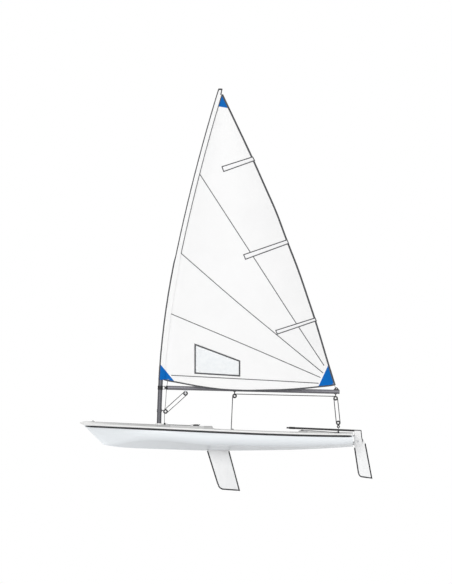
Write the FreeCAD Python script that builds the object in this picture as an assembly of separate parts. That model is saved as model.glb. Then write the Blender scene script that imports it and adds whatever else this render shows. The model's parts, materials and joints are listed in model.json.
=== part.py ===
import FreeCAD, Part
import os, math

# Single-handed sailing dinghy, millimetres.
# Frame: X runs aft, Y to starboard, Z up.  Origin on the waterline, on the
# centreplane, a little aft of the middle of the hull.
os.makedirs("parts", exist_ok=True)
V = FreeCAD.Vector
YAX = V(0, 1, 0)
ZAX = V(0, 0, 1)

# ------------------------------------------------------------------ dimensions
NOSE_X = -2111.0          # foremost point of the deck edge
TRANSOM_X = 2100.0        # flat aft face of hull and deck
BEAM_X = 250.0            # station of greatest beam
HALF_BEAM = 685.0         # half the greatest beam, over the deck edge
LIP_OVERHANG = 20.0       # how far the deck edge stands outside the hull side
LIP_HEIGHT = 28.0         # thickness of the rolled deck edge
PLAN_BREAK_X = -900.0     # where the bow curve meets the midships curve
R_PLAN_FWD = 5200.0       # plan radius of the deck edge, midships forward
R_PLAN_AFT = 11450.0      # plan radius of the deck edge, midships aft
NOSE_R = 48.0             # plan radius of the nose

SHEER_X0, SHEER_Z0 = -2140.0, 309.0    # forward end of the deck joint line
SHEER_X1, SHEER_Z1 = 300.0, 196.0      # straight as far as here
SHEER_X2, SHEER_Z2 = 2140.0, 148.0     # then a hollow arc to the stern

COCKPIT_X0, COCKPIT_X1 = -40.0, 1236.0
COCKPIT_HALF_FWD, COCKPIT_HALF_AFT = 300.0, 235.0
COCKPIT_FLOOR_Z = 28.0
COCKPIT_CORNER_R = 85.0
TUB_WALL = 6.0

TONGUE_X0, TONGUE_X1 = -318.0, 300.0   # sunk channel and the trunk's top
TONGUE_HALF = 68.0
TONGUE_Z = 196.0

MAST_X_DECK, MAST_Z_DECK = -890.0, 325.0
MAST_RAKE = math.radians(1.2)          # at the deck
R_MAST_LOW, Z_MAST_BEND = 19100.0, 1002.0
R_MAST_MID, Z_MAST_JOINT = 12730.0, 2850.0
R_MAST_TOP, Z_MAST_TOP = 28650.0, 5478.0
MAST_R_LOWER, MAST_R_UPPER, MAST_WALL = 35.0, 27.0, 2.5
MAST_FOOT_Z = 20.0
STEP_GAP = 0.5

BOOM_X0, BOOM_Z0 = -757.0, 883.0
BOOM_X1, BOOM_Z1 = 1886.0, 819.0
BOOM_R, BOOM_WALL = 32.0, 2.5

BOARD_AXIS = math.radians(16.2)        # lean of the daggerboard, top forward
BOARD_T = 32.0
SLOT_CLEAR = 6.0

HINGE_X = 2114.0                       # rudder pintle line
RUDDER_HEAD_T = 40.0
BLADE_T = 20.0
BLADE_PIVOT = (2178.0, 60.0)

TILLER_A = (1204.0, 261.0)
TILLER_B = (2233.0, 217.0)
TILLER_R = 15.0
EXT_PIVOT_X = 1086.0
EXT_LENGTH = 820.0
EXT_R = 9.0
EXT_Y = 34.0

BLOCK_R = 36.0
SAIL_T = 6.0

# ------------------------------------------------------------------ helpers
def wire(pts, closed=True):
    vs = [V(*p) for p in pts]
    if closed:
        vs.append(vs[0])
    return Part.makePolygon(vs)


def prism_xz(pts, y0, y1):
    """Solid from a polygon of (x, z) points, between two y planes."""
    f = Part.Face(wire([(x, y0, z) for x, z in pts]))
    return f.extrude(V(0, y1 - y0, 0))


def prism_edges(edges, direction):
    return Part.Face(Part.Wire(Part.__sortEdges__(edges))).extrude(direction)


def box(x0, x1, y0, y1, z0, z1):
    return Part.makeBox(x1 - x0, y1 - y0, z1 - z0, V(x0, y0, z0))


def cyl(r, p, d, h):
    return Part.makeCylinder(r, h, V(*p), V(*d))


def arc3(a, b, c):
    return Part.Arc(V(*a), V(*b), V(*c)).toShape()


def line(a, b):
    return Part.LineSegment(V(*a), V(*b)).toShape()


def one(shape):
    """The single largest solid of a result."""
    return max(shape.Solids, key=lambda s: s.Volume)


def tidy(shape):
    try:
        r = shape.removeSplitter()
        if r.isValid() and r.Solids:
            return r
    except Exception:
        pass
    return shape


def try_fillet(shape, radius, test):
    edges = [e for e in shape.Edges if test(e)]
    if not edges:
        print("fillet: no edge")
        return shape
    try:
        r = shape.makeFillet(radius, edges)
        if r.isValid() and r.Solids and r.Volume > 0:
            return one(r)
        print("fillet: bad result", radius)
    except Exception as err:
        print("fillet failed", radius, len(edges), err)
    return shape


PARTS = {}


def add(name, *shapes):
    solids = []
    for s in shapes:
        solids += s.Solids
    PARTS[name] = solids[0] if len(solids) == 1 else Part.Compound(solids)


# ------------------------------------------------------------------ deck outline
def drop(r, dx):
    return r - math.sqrt(r * r - dx * dx)


SIDE_ANGLE = math.asin((BEAM_X - PLAN_BREAK_X) / R_PLAN_FWD)
BREAK_Y = HALF_BEAM - drop(R_PLAN_FWD, BEAM_X - PLAN_BREAK_X)


def bow_arc(inset=0.0):
    """Radius and end angle of the bow curve: tangent to the midships curve
    at PLAN_BREAK_X and tangent to the nose circle."""
    lo, hi = 2000.0, 9000.0
    for _ in range(60):
        r = 0.5 * (lo + hi)
        # centre of the bow circle
        cx = PLAN_BREAK_X + r * math.sin(SIDE_ANGLE)
        cy = BREAK_Y - r * math.cos(SIDE_ANGLE)
        d = math.hypot(cx - (NOSE_X + NOSE_R), cy)
        if d < r - NOSE_R:      # circle lies too far out: smaller radius bends more
            hi = r
        else:
            lo = r
    return r, cx, cy


R_BOW, BOW_CX, BOW_CY = bow_arc()


def half_breadth(x):
    """Half breadth of the deck edge at station x."""
    if x < PLAN_BREAK_X:
        return BOW_CY + math.sqrt(R_BOW ** 2 - (x - BOW_CX) ** 2)
    if x < BEAM_X:
        return HALF_BEAM - drop(R_PLAN_FWD, BEAM_X - x)
    return HALF_BEAM - drop(R_PLAN_AFT, x - BEAM_X)


# ------------------------------------------------------------------ sheer (deck joint)
def sheer_curve():
    """Profile of the joint: a line, then an arc tangent to it."""
    dx, dz = SHEER_X1 - SHEER_X0, SHEER_Z1 - SHEER_Z0
    n = math.hypot(dx, dz)
    nx, nz = -dz / n, dx / n
    px, pz = SHEER_X2 - SHEER_X1, SHEER_Z2 - SHEER_Z1
    # circle through both ends with that tangent: centre along the normal
    r = (px * px + pz * pz) / (2 * (px * nx + pz * nz))
    return r, SHEER_X1 + r * nx, SHEER_Z1 + r * nz


R_SHEER, SH_CX, SH_CZ = sheer_curve()


def sheer_z(x):
    if x <= SHEER_X1:
        return SHEER_Z0 + (x - SHEER_X0) * (SHEER_Z1 - SHEER_Z0) / (SHEER_X1 - SHEER_X0)
    return SH_CZ - math.sqrt(R_SHEER ** 2 - (x - SH_CX) ** 2)


# ------------------------------------------------------------------ deck
# Each section of the deck is its underside, two rolled edges and a cambered
# top.  The fore deck ends in a slope ahead of the cockpit, the aft deck begins
# with one behind it, so the sections there lean (dx for each mm of height).
# columns: x at the joint, lean, height of the middle, height of the edge
LEAN_F, LEAN_A = -0.62, 0.75
NOSE_CAP_X = -2030.0
FORE_DECK = [(NOSE_CAP_X, 0.0, 63.0, 34.0), (-1850.0, 0.0, 64.0, 29.0), (-1500.0, 0.0, 65.0, 28.0),
             (-1050.0, 0.0, 66.0, 28.0), (-550.0, 0.0, 68.0, 28.0), (-20.0, LEAN_F, 84.0, 28.0)]
MID_DECK = [(-20.0, LEAN_F, 44.0, 28.0), (350.0, 0.0, 43.0, 28.0), (800.0, 0.0, 44.0, 28.0), (1222.0, LEAN_A, 42.0, 28.0)]
AFT_DECK = [(1222.0, LEAN_A, 62.0, 28.0), (1560.0, 0.0, 57.0, 28.0), (2040.0, 0.0, 47.0, 28.0)]
R_LIP_LOW, R_LIP_TOP = 9.0, 13.0


def deck_section(x, lean, mid, edge, b=None, shrink=1.0):
    """Closed section wire; shrink draws it in about the middle of its height."""
    zj = sheer_z(x)
    if b is None:
        b = half_breadth(x)
    k = 0.5 * mid                              # height it shrinks about

    def P(y, h):
        h = k + (h - k) * shrink
        return (x + lean * h, y * shrink, zj + h)

    q = 1 - math.sqrt(0.5)
    tl, tt = R_LIP_LOW, min(R_LIP_TOP, edge - R_LIP_LOW - 2)
    w = b - tt * 1.05
    edges = []
    ring = [(b - tl, 0.0), (b - tl * q, tl * q), (b, tl), (b, edge - tt),
            (b - tt * q * 0.94, edge - tt * q * 1.12), (w, edge + 0.5)]
    L = [P(-y, h) for y, h in ring]
    R = [P(y, h) for y, h in ring]
    edges.append(line(L[0], R[0]))
    edges.append(arc3(R[0], R[1], R[2]))
    edges.append(line(R[2], R[3]))
    edges.append(arc3(R[3], R[4], R[5]))
    edges.append(arc3(R[5], P(0.0, mid), L[5]))
    edges.append(arc3(L[5], L[4], L[3]))
    edges.append(line(L[3], L[2]))
    edges.append(arc3(L[2], L[1], L[0]))
    return Part.Wire(edges)


def deck_loft(rows):
    return one(Part.makeLoft([deck_section(*r) for r in rows], True, False))


fore = deck_loft(FORE_DECK)
mid = deck_loft(MID_DECK)
aft = deck_loft(AFT_DECK)
# nose: the first section drawn in round an ellipse, in a few steps
NOSE_LEN = NOSE_CAP_X - NOSE_X
NOSE_STEPS = [(1.0, 1.0), (0.60, 0.70), (0.28, 0.44), (0.10, 0.27), (0.0, 0.10)]   # length left, size
b_cap = half_breadth(NOSE_CAP_X)
nose = one(Part.makeLoft([deck_section(NOSE_X + NOSE_LEN * f, 0.0, 63.0, 34.0, b_cap, s) for f, s in NOSE_STEPS], True, False))
# stern: the last section drawn in a little for the rounded corners
STERN = [(2040.0, 0.0), (2080.0, -2.5), (2093.0, -6.0), (TRANSOM_X, -12.0)]   # x, change of half breadth
stern = one(Part.makeLoft([deck_section(x, 0.0, 47.0 - i * 0.6, 28.0, half_breadth(x) + d) for i, (x, d) in enumerate(STERN)],
                          True, False))
for nm, s in (("fore", fore), ("mid", mid), ("aft", aft), ("nose", nose), ("stern", stern)):
    print("deck", nm, s.isValid())
deck_env = one(fore.fuse(mid).fuse(aft).fuse(nose).fuse(stern))
print("deck valid", deck_env.isValid(), len(deck_env.Solids), round(deck_env.Volume / 1e9, 4))

# ------------------------------------------------------------------ hull
# Sections of the hull, each in a plane that holds its keel point and its sheer
# points.  Forward planes lean with the stem.
# columns: keel x, keel z, sheer x, deadrise deg, flare deg, bilge radius, half width
#          (None takes the deck outline less the overhang)
HULL = [
    (-1752.0,    8.0, -2052.0, 58.0,  0.3,   2.0,  7.0),
    (-1560.0,  -26.0, -1800.0, 36.0, 20.0, 110.0, None),
    (-1126.0,  -54.0, -1260.0, 22.0, 15.0, 170.0, None),
    ( -489.0,  -77.0,  -520.0, 13.0, 11.0, 190.0, None),
    (  160.0,  -87.0,   160.0,  8.5,  9.0, 195.0, None),
    (  850.0,  -80.0,   850.0,  6.5,  9.0, 185.0, None),
    ( 1480.0,  -62.0,  1480.0,  5.5,  9.0, 165.0, None),
    ( 1800.0,  -45.5,  1800.0,  5.2,  9.5, 148.0, None),
    ( 2100.0,  -26.0,  2100.0,  5.0, 10.0, 130.0, None),
]
HULL_EXTRA = 18.0          # hull carried up into the deck, then cut by it


def hull_section(kx, kz, sx, deadrise, flare, r, half):
    sz = sheer_z(sx)
    if half is None:
        half = half_breadth(sx) - LIP_OVERHANG
    run, rise = sx - kx, sz - kz
    length = math.hypot(run, rise)
    ex, ez = run / length, rise / length
    extra = HULL_EXTRA / ez
    a = math.radians(deadrise)
    f = math.radians(flare)
    # bottom line from (0,0) at angle a, topside line through (half, length)
    # with du/dv = tan(f); they meet at the knuckle
    ta, tf = math.tan(a), math.tan(f)
    u = (half - length * tf) / (1 - ta * tf)
    v = u * ta
    turn = math.pi / 2 - f - a
    t = r * math.tan(turn / 2)
    p1 = (u - t * math.cos(a), v - t * math.sin(a))
    p2 = (u + t * math.sin(f), v + t * math.cos(f))
    # middle of the arc
    bis = ((-math.cos(a) + math.sin(f)), (-math.sin(a) + math.cos(f)))
    bn = math.hypot(*bis)
    d = r / math.cos(turn / 2) - r
    pm = (u + bis[0] / bn * d, v + bis[1] / bn * d)
    pt = (half + extra * tf, length + extra)

    def P(q, s):
        return (kx + ex * q[1], s * q[0], kz + ez * q[1])

    o = (0.0, 0.0)
    e = [line(P(o, 1), P(p1, 1)), arc3(P(p1, 1), P(pm, 1), P(p2, 1)), line(P(p2, 1), P(pt, 1)),
         line(P(pt, 1), P(pt, -1)),
         line(P(pt, -1), P(p2, -1)), arc3(P(p2, -1), P(pm, -1), P(p1, -1)), line(P(p1, -1), P(o, -1))]
    return Part.Wire(e)


hull_ext = one(Part.makeLoft([hull_section(*row) for row in HULL], True, False))
print("hull loft valid", hull_ext.isValid(), round(hull_ext.Volume / 1e9, 4), "m3")
hull_env = one(hull_ext.cut(deck_env))
print("hull below deck", hull_env.isValid(), len(hull_env.Solids), round(hull_env.Volume / 1e9, 4))
boat_env = hull_env.fuse(deck_env)


# ------------------------------------------------------------------ cockpit
def cockpit_wire(z, inset, r):
    x0, x1 = COCKPIT_X0 + inset, COCKPIT_X1 - inset
    h0, h1 = COCKPIT_HALF_FWD - inset, COCKPIT_HALF_AFT - inset
    # side wall direction
    n = math.hypot(x1 - x0, h0 - h1)
    ux, uy = (x1 - x0) / n, (h1 - h0) / n
    fa = math.atan2(h0 - h1, x1 - x0)
    tf = r * math.tan((math.pi / 2 + fa) / 2)       # forward corner, sharper
    ta = r * math.tan((math.pi / 2 - fa) / 2)
    e = []
    for s in (1, -1):
        a = (x0, s * (h0 - tf), z)
        b = (x0 + ux * tf, s * (h0 + uy * tf), z)
        # arc middles from the corner bisector
        cxm, cym = x0 + r, h0 - r / math.cos(fa) * 1.0
        cy = h0 - tf
        cxx = x0 + r
        ang0, ang1 = math.pi, math.pi / 2 - fa
        am = 0.5 * (ang0 + ang1)
        e.append(arc3(a, (cxx + r * math.cos(am), s * (cy + r * math.sin(am)), z), b))
        c = (x1 - ux * ta, s * (h1 - uy * ta), z)
        d = (x1, s * (h1 - ta), z)
        cx2, cy2 = x1 - r, h1 - ta
        am = 0.5 * (0 + math.pi / 2 - fa)
        e.append(line(b, c))
        e.append(arc3(c, (cx2 + r * math.cos(am), s * (cy2 + r * math.sin(am)), z), d))
    e.append(line((x0, h0 - tf, z), (x0, -(h0 - tf), z)))
    e.append(line((x1, h1 - ta, z), (x1, -(h1 - ta), z)))
    return Part.Wire(Part.__sortEdges__(e))


TUB_TOP_Z = 330.0
DRAFT = 34.0              # how much narrower the floor is than the rim, each side


def tub_solid(wall):
    """The cockpit's own shape; wall=0 is the outside, larger is the inside."""
    zb = COCKPIT_FLOOR_Z - TUB_WALL if wall == 0 else COCKPIT_FLOOR_Z
    lo = cockpit_wire(zb, DRAFT + wall, COCKPIT_CORNER_R - 12 - wall)
    hi = cockpit_wire(TUB_TOP_Z, -6.0 + wall, COCKPIT_CORNER_R - wall)
    return one(Part.makeLoft([lo, hi], True, True))


tub_out = tub_solid(0)
tub_in = tub_solid(TUB_WALL)
print("tub", tub_out.isValid(), tub_in.isValid())
tub = tub_out.cut(tub_in).common(boat_env)

# ------------------------------------------------------------------ daggerboard trunk
# The trunk runs through the hull with the board's lean.  Its top is a flat
# tongue that starts in a sunk channel in the fore deck and ends in the cockpit.
def tongue_plan(inset, z0, z1):
    h = TONGUE_HALF - inset
    x0, x1 = TONGUE_X0 + inset, TONGUE_X1 - inset
    rf, ra = 24.0, 60.0 - inset
    k = 1 - math.sqrt(0.5)
    e = []
    for s in (1, -1):
        e.append(arc3((x0, s * (h - rf), z0), (x0 + rf * k, s * (h - rf * k), z0), (x0 + rf, s * h, z0)))
        e.append(line((x0 + rf, s * h, z0), (x1 - ra, s * h, z0)))
        e.append(arc3((x1 - ra, s * h, z0), (x1 - ra * k, s * (h - ra * k), z0), (x1, s * (h - ra), z0)))
    e.append(line((x0, h - rf, z0), (x0, -(h - rf), z0)))
    e.append(line((x1, h - ra, z0), (x1, -(h - ra), z0)))
    return prism_edges(e, V(0, 0, z1 - z0))


# Leading and trailing edges of the board: (x, z) pairs on each line
LE_TOP, LE_BOT = (-258.0, 245.0), (14.0, -623.0)
TE_TOP, TE_BOT = (106.0, 245.0), (338.0, -623.0)


def on_line(a, b, z):
    return a[0] + (b[0] - a[0]) * (z - a[1]) / (b[1] - a[1])


tan_b = math.tan(BOARD_AXIS)
# slot: constant section along the sliding axis, wide enough for the board's head end
x_le = on_line(LE_TOP, LE_BOT, TONGUE_Z) - SLOT_CLEAR / math.cos(BOARD_AXIS)
x_te = on_line(TE_TOP, TE_BOT, TONGUE_Z) + SLOT_CLEAR / math.cos(BOARD_AXIS)
slot_half = BOARD_T / 2 + SLOT_CLEAR


def slanted(x_front, x_back, half, z_ref, z0, z1):
    """Block leaning with the board, its x range given at z_ref."""
    def xs(x, z):
        return x - (z - z_ref) * tan_b
    return prism_xz([(xs(x_front, z0), z0), (xs(x_back, z0), z0),
                     (xs(x_back, z1), z1), (xs(x_front, z1), z1)], -half, half)


slot = slanted(x_le, x_te, slot_half, TONGUE_Z, -300.0, TONGUE_Z + 1)
tongue = tongue_plan(0.0, COCKPIT_FLOOR_Z - TUB_WALL - 10, TONGUE_Z)
case = slanted(x_le - 14.0, x_te + 14.0, slot_half + 12.0, TONGUE_Z, -300.0, COCKPIT_FLOOR_Z)
trunk_env = one(tongue.fuse(case).common(boat_env))
trunk = one(trunk_env.cut(slot))
channel = tongue_plan(0.0, TONGUE_Z, 420.0)
channel = channel.common(box(TONGUE_X0 - 5, -20, -200, 200, TONGUE_Z - 1, 430))
# the part of the channel over the cockpit is open already

# ------------------------------------------------------------------ mast line
sn, cs = math.sin(MAST_RAKE), math.cos(MAST_RAKE)
mast_dir = V(sn, 0, cs)


def mast_axis(z):
    """x of the straight foot of the mast's axis (the turning axis) at height z."""
    return MAST_X_DECK + (z - MAST_Z_DECK) * math.tan(MAST_RAKE)


class Bend:
    """One arc of the mast's line in the XZ plane, from p at angle th (from
    vertical) with radius r, up to height z1."""
    def __init__(self, x, z, th, r, z1):
        self.x, self.z, self.th, self.r = x, z, th, r
        # z1 = z + r (sin th1 - sin th)
        self.th1 = math.asin(math.sin(th) + (z1 - z) / r)
        self.x1 = x + r * (math.cos(th) - math.cos(self.th1))
        self.z1 = z1

    def at(self, z, off=0.0):
        """Point at height z of the line, moved sideways by off (aft positive)."""
        th = math.asin(math.sin(self.th) + (z - self.z) / self.r)
        x = self.x + self.r * (math.cos(self.th) - math.cos(th))
        return (x + off * math.cos(th), z - off * math.sin(th))

    def edge(self):
        thm = 0.5 * (self.th + self.th1)
        xm = self.x + self.r * (math.cos(self.th) - math.cos(thm))
        zm = self.z + self.r * (math.sin(thm) - math.sin(self.th))
        return arc3((self.x, 0, self.z), (xm, 0, zm), (self.x1, 0, self.z1))


bend1 = Bend(MAST_X_DECK, MAST_Z_DECK, MAST_RAKE, R_MAST_LOW, Z_MAST_BEND)
bend2 = Bend(bend1.x1, bend1.z1, bend1.th1, R_MAST_MID, Z_MAST_JOINT)
bend3 = Bend(bend2.x1, bend2.z1, bend2.th1, R_MAST_TOP, Z_MAST_TOP)
print("mast head", round(bend3.x1, 1), round(bend3.z1, 1), round(math.degrees(bend3.th1), 2))


def mast_at(z, off=0.0):
    for b in (bend1, bend2, bend3):
        if z <= b.z1 + 1e-6:
            return b.at(z, off)
    return b.at(z, off)


def pipe(edges, r, start, direction):
    w = Part.Wire(edges)
    c = Part.Wire([Part.makeCircle(r, V(*start), V(*direction))])
    return w.makePipeShell([c], True, False)


def tube(edges, r_out, r_in, start, direction):
    a = pipe(edges, r_out, start, direction)
    if r_in <= 0:
        return one(a)
    b = pipe(edges, r_in, start, direction)
    return one(a.cut(b))


foot = (mast_axis(MAST_FOOT_Z), 0, MAST_FOOT_Z)
low_edges = [line(foot, (MAST_X_DECK, 0, MAST_Z_DECK)), bend1.edge(), bend2.edge()]
mast_lower = tube(low_edges, MAST_R_LOWER, MAST_R_LOWER - MAST_WALL, foot, (sn, 0, cs))
d2 = (math.sin(bend2.th1), 0, math.cos(bend2.th1))
p2 = (bend2.x1, 0, bend2.z1)
mast_upper = tube([bend3.edge()], MAST_R_UPPER, MAST_R_UPPER - MAST_WALL, p2, d2)
print("mast tubes", mast_lower.isValid(), mast_upper.isValid())
add("mast_lower", mast_lower)
add("mast_upper", mast_upper)
# plug between the two sections: fills the top of the lower tube and holds the upper one
r_pl = MAST_R_LOWER - MAST_WALL
plug_start = (p2[0] - 60 * d2[0], 0, p2[2] - 60 * d2[2])
plug = cyl(r_pl - 0.6, plug_start, d2, 60.0)
spigot = cyl(MAST_R_UPPER - MAST_WALL - 0.6, p2, d2, 60.0)
add("mast_joint_collar", one(plug.fuse(spigot)))
d3 = (math.sin(bend3.th1), 0, math.cos(bend3.th1))
p3 = (bend3.x1, 0, bend3.z1)
head = cyl(MAST_R_UPPER, p3, d3, 14.0).fuse(
    cyl(MAST_R_UPPER - MAST_WALL - 0.6, (p3[0] - 40 * d3[0], 0, p3[2] - 40 * d3[2]), d3, 41.0))
add("mast_head_plug", try_fillet(one(head), 6.0, lambda e: e.CenterOfMass.z > p3[2] + 9 and e.Length > 100))

# mast step: tube through the deck with a round flange
step_r = MAST_R_LOWER + STEP_GAP
step_bottom = (mast_axis(MAST_FOOT_Z - 14), 0, MAST_FOOT_Z - 14)
step_body = cyl(step_r + 9, step_bottom, (sn, 0, cs), 330.0)
flange = cyl(step_r + 20, (mast_axis(290.0), 0, 290.0), (sn, 0, cs), 44.0)
flange = try_fillet(flange, 7.0, lambda e: e.CenterOfMass.z > 325 and e.Length > 100)
bore = cyl(step_r, (mast_axis(MAST_FOOT_Z - 0.6), 0, MAST_FOOT_Z - 0.6), (sn, 0, cs), 500.0)
step_inner = step_body.common(boat_env)
step = one(step_inner.fuse(flange.cut(boat_env)).cut(bore))
add("mast_step", step)

# ------------------------------------------------------------------ self bailer
BAILER_X = 1120.0
bail_core = cyl(26.0, (BAILER_X, 0, -200.0), (0, 0, 1), COCKPIT_FLOOR_Z + 200.0)
bail = bail_core.common(hull_env).fuse(cyl(36.0, (BAILER_X, 0, COCKPIT_FLOOR_Z), (0, 0, 1), 4.0))
bail = one(bail)
add("self_bailer", bail)

# ------------------------------------------------------------------ hull, deck, tub as kept
hull = hull_env.cut(tub_out).cut(trunk_env).cut(slot).cut(channel).cut(step_body).cut(bail_core)
hull = one(hull)
deck = deck_env.cut(tub_out).cut(trunk_env).cut(channel).cut(step_body)
deck = one(deck)
tub = one(tub.cut(tongue_plan(0.0, COCKPIT_FLOOR_Z - TUB_WALL - 10, 420.0)).cut(case).cut(bail_core))
add("hull_shell", hull)
add("deck", deck)
add("cockpit_tub", tub)
add("daggerboard_trunk", trunk)
print("hull", hull.isValid(), "deck", deck.isValid(), "tub", tub.isValid(), "trunk", trunk.isValid())

# ------------------------------------------------------------------ daggerboard
# foil: small round nose, full forward, fine tail, each side two arcs
def foil_wire(le, te, t, z, tail=2.0):
    c = te - le
    h, q, r = t / 2, tail / 2, 0.42 * t / 2
    ring = [(le + r, r), (le + 0.17 * c, 0.84 * h), (le + 0.40 * c, h), (le + 0.72 * c, 0.68 * h), (te, q)]

    def P(i, s):
        return (ring[i][0], s * ring[i][1], z)

    return Part.Wire([
        arc3(P(0, -1), (le, 0, z), P(0, 1)), arc3(P(0, 1), P(1, 1), P(2, 1)), arc3(P(2, 1), P(3, 1), P(4, 1)),
        line(P(4, 1), P(4, -1)), arc3(P(4, -1), P(3, -1), P(2, -1)), arc3(P(2, -1), P(1, -1), P(0, -1))])


b0, b1 = TONGUE_Z - 1.0, -760.0
board = Part.makeLoft([foil_wire(on_line(LE_TOP, LE_BOT, b0), on_line(TE_TOP, TE_BOT, b0), BOARD_T, b0),
                       foil_wire(on_line(LE_TOP, LE_BOT, b1), on_line(TE_TOP, TE_BOT, b1), BOARD_T - 8, b1)],
                      True, True)
# tip: rounded front corner, slightly sloping bottom edge
BOARD_TIP = [(-420.0, 600.0), (-420.0, -560.0), (8.0, -606.0), (24.0, -644.0), (48.0, -672.0), (84.0, -690.0),
             (362.0, -712.0), (600.0, -712.0), (600.0, 600.0)]
board = one(board.common(prism_xz(BOARD_TIP, -60, 60)))
add("daggerboard", board)
# head: a block wider than the slot that rests on the trunk
hx0, hx1 = on_line(LE_TOP, LE_BOT, TONGUE_Z) + 2.0, on_line(TE_TOP, TE_BOT, TONGUE_Z) - 2.0
shift = 40.0 * tan_b
head = prism_xz([(hx0 - 14, TONGUE_Z), (hx1 + 12, TONGUE_Z), (hx1 + 12 - 24 * tan_b, TONGUE_Z + 24),
                 (hx1 - 4 - 40 * tan_b, TONGUE_Z + 40), (hx0 + 14 - 40 * tan_b, TONGUE_Z + 40),
                 (hx0 - 14 - 24 * tan_b, TONGUE_Z + 24)], -30, 30)
head = one(head)
head = try_fillet(head, 7.0, lambda e: abs(e.tangentAt(e.FirstParameter).y) < 0.1 and e.CenterOfMass.z > TONGUE_Z + 15
                  and abs(abs(e.CenterOfMass.y) - 30) < 0.5 and e.Length > 70)
add("daggerboard_head", head)

# ------------------------------------------------------------------ deck fittings
def deck_z(x, y):
    """Height of the deck's top at a point."""
    probe = line((x, y, 150.0), (x, y, 450.0))
    c = deck_env.common(probe)
    return max(v.Z for v in c.Vertexes)


# bow eye: a low arched strap on the centreline
bz = deck_z(-1909.0, 0.0)
BOW_EYE_Z = bz + 8.5
eye = cyl(11.0, (-1909.0, -7, BOW_EYE_Z), (0, 1, 0), 14.0).fuse(box(-1920, -1898, -7, 7, bz - 10, BOW_EYE_Z)).fuse(
    box(-1940, -1878, -10, 10, bz - 12, bz + 2.0)).cut(cyl(6.0, (-1909.0, -20, BOW_EYE_Z), (0, 1, 0), 40.0))
eye = one(eye.cut(deck_env))
add("bow_eye", eye)

# two small turning blocks just behind the mast for the control lines
TURN_X = -804.0
blocks = []
for s in (-1, 1):
    z = deck_z(TURN_X, s * 46.0)
    b = box(TURN_X - 20, TURN_X + 20, s * 46 - 14, s * 46 + 14, z - 10, z + 6).fuse(
        cyl(15.0, (TURN_X, s * 46 - 9, z + 17), (0, 1, 0), 18.0)).fuse(
        box(TURN_X - 11, TURN_X + 11, s * 46 - 9, s * 46 + 9, z - 4, z + 17))
    blocks.append(one(b.cut(deck_env)))
add("mast_base_blocks", *blocks)

# cleats for the two control lines, either side of the channel
cleats = []
for s in (-1, 1):
    z = deck_z(-320.0, s * 112.0)
    b = prism_xz([(-366, z - 14), (-272, z - 14), (-272, z + 8), (-286, z + 24), (-352, z + 24), (-366, z + 8)],
                 s * 112 - 17, s * 112 + 17)
    b = b.cut(box(-380, -260, s * 112 - 3.5, s * 112 + 3.5, z + 10, z + 40))
    cleats.append(one(b.cut(deck_env)))
add("control_line_cleats", *cleats)


def sheave_block(x, y, z, r, width):
    """Two round cheeks and the wheel between them, axis across the boat."""
    g = 0.72 * r
    c = cyl(r, (x, y - width / 2, z), (0, 1, 0), width)
    ring = cyl(r + 1, (x, y - width / 2 + 4, z), (0, 1, 0), width - 8).cut(
        cyl(g, (x, y - width / 2 + 4, z), (0, 1, 0), width - 8))
    return c.cut(ring)


# ratchet block for the sheet, on the end of the tongue
RATCHET = (244.0, 0.0, TONGUE_Z + 31.0)
rb = sheave_block(*RATCHET, 25.0, 26.0)
base = cyl(24.0, (244.0, 0, TONGUE_Z), (0, 0, 1), 5.0).fuse(box(236, 252, -13, -9, TONGUE_Z, TONGUE_Z + 22)).fuse(
    box(236, 252, 9, 13, TONGUE_Z, TONGUE_Z + 22))
add("mainsheet_ratchet_block", one(rb.fuse(base)))

# traveller: an eye each side of the aft deck, a cleat, and the pair of blocks
EYE_Y, TRAV_X = 470.0, 1876.0
eyes = []
for s in (-1, 1):
    z = deck_z(TRAV_X, s * EYE_Y)
    e1 = cyl(17.0, (TRAV_X, s * EYE_Y, z - 12), (0, 0, 1), 18.0).fuse(cyl(11.0, (TRAV_X, s * EYE_Y, z - 4), (0, 0, 1), 34.0))
    e1 = e1.fuse(Part.makeSphere(11.0, V(TRAV_X, s * EYE_Y, z + 30)))
    e1 = e1.cut(cyl(5.0, (TRAV_X, s * EYE_Y - 40, z + 28), (0, 1, 0), 80.0))
    eyes.append(one(e1.cut(deck_env)))
add("traveller_eyes", *eyes)
TRAV_EYE_Z = deck_z(TRAV_X, EYE_Y) + 28
z = deck_z(1318.0, 0.0)
tc = prism_xz([(1290, z - 10), (1346, z - 10), (1346, z + 5), (1336, z + 13), (1300, z + 13), (1290, z + 5)], -14, 14)
tc = tc.cut(box(1280, 1360, -3, 3, z + 5, z + 30))
add("traveller_cleat", one(tc.cut(deck_env)))
up = sheave_block(1874.0, 0.0, 341.0, BLOCK_R, 26.0)
lo = sheave_block(1876.0, 0.0, 284.0, 24.0, 22.0)
link = box(1868, 1882, -13, -9, 290, 336).fuse(box(1868, 1882, 9, 13, 290, 336))
link = link.fuse(box(1868, 1882, -13, 13, 307.5, 313.5))
tb = up.fuse(lo).fuse(link)
add("traveller_blocks", one(tb))

# rudder gudgeons on the transom: plate with a ring, two heights
GUDGEONS = (30.0, 132.0)                # underside of each ring
RING_H, RING_R, PIN_R = 12.0, 8.5, 3.8
gud = []
for gz in GUDGEONS:
    g = box(TRANSOM_X, TRANSOM_X + 3, -24, 24, gz - 14, gz + RING_H + 14).fuse(
        box(TRANSOM_X + 2, HINGE_X, -RING_R, RING_R, gz, gz + RING_H)).fuse(
        cyl(RING_R, (HINGE_X, 0, gz), (0, 0, 1), RING_H))
    gud.append(one(g.cut(cyl(PIN_R + 0.4, (HINGE_X, 0, gz - 5), (0, 0, 1), 40))))
add("rudder_gudgeons", *gud)
pl = cyl(15.0, (TRANSOM_X, -150, 12), (1, 0, 0), 5.0).fuse(cyl(9.0, (TRANSOM_X, -150, 12), (1, 0, 0), 12.0))
add("transom_drain_plug", one(pl))

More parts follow.
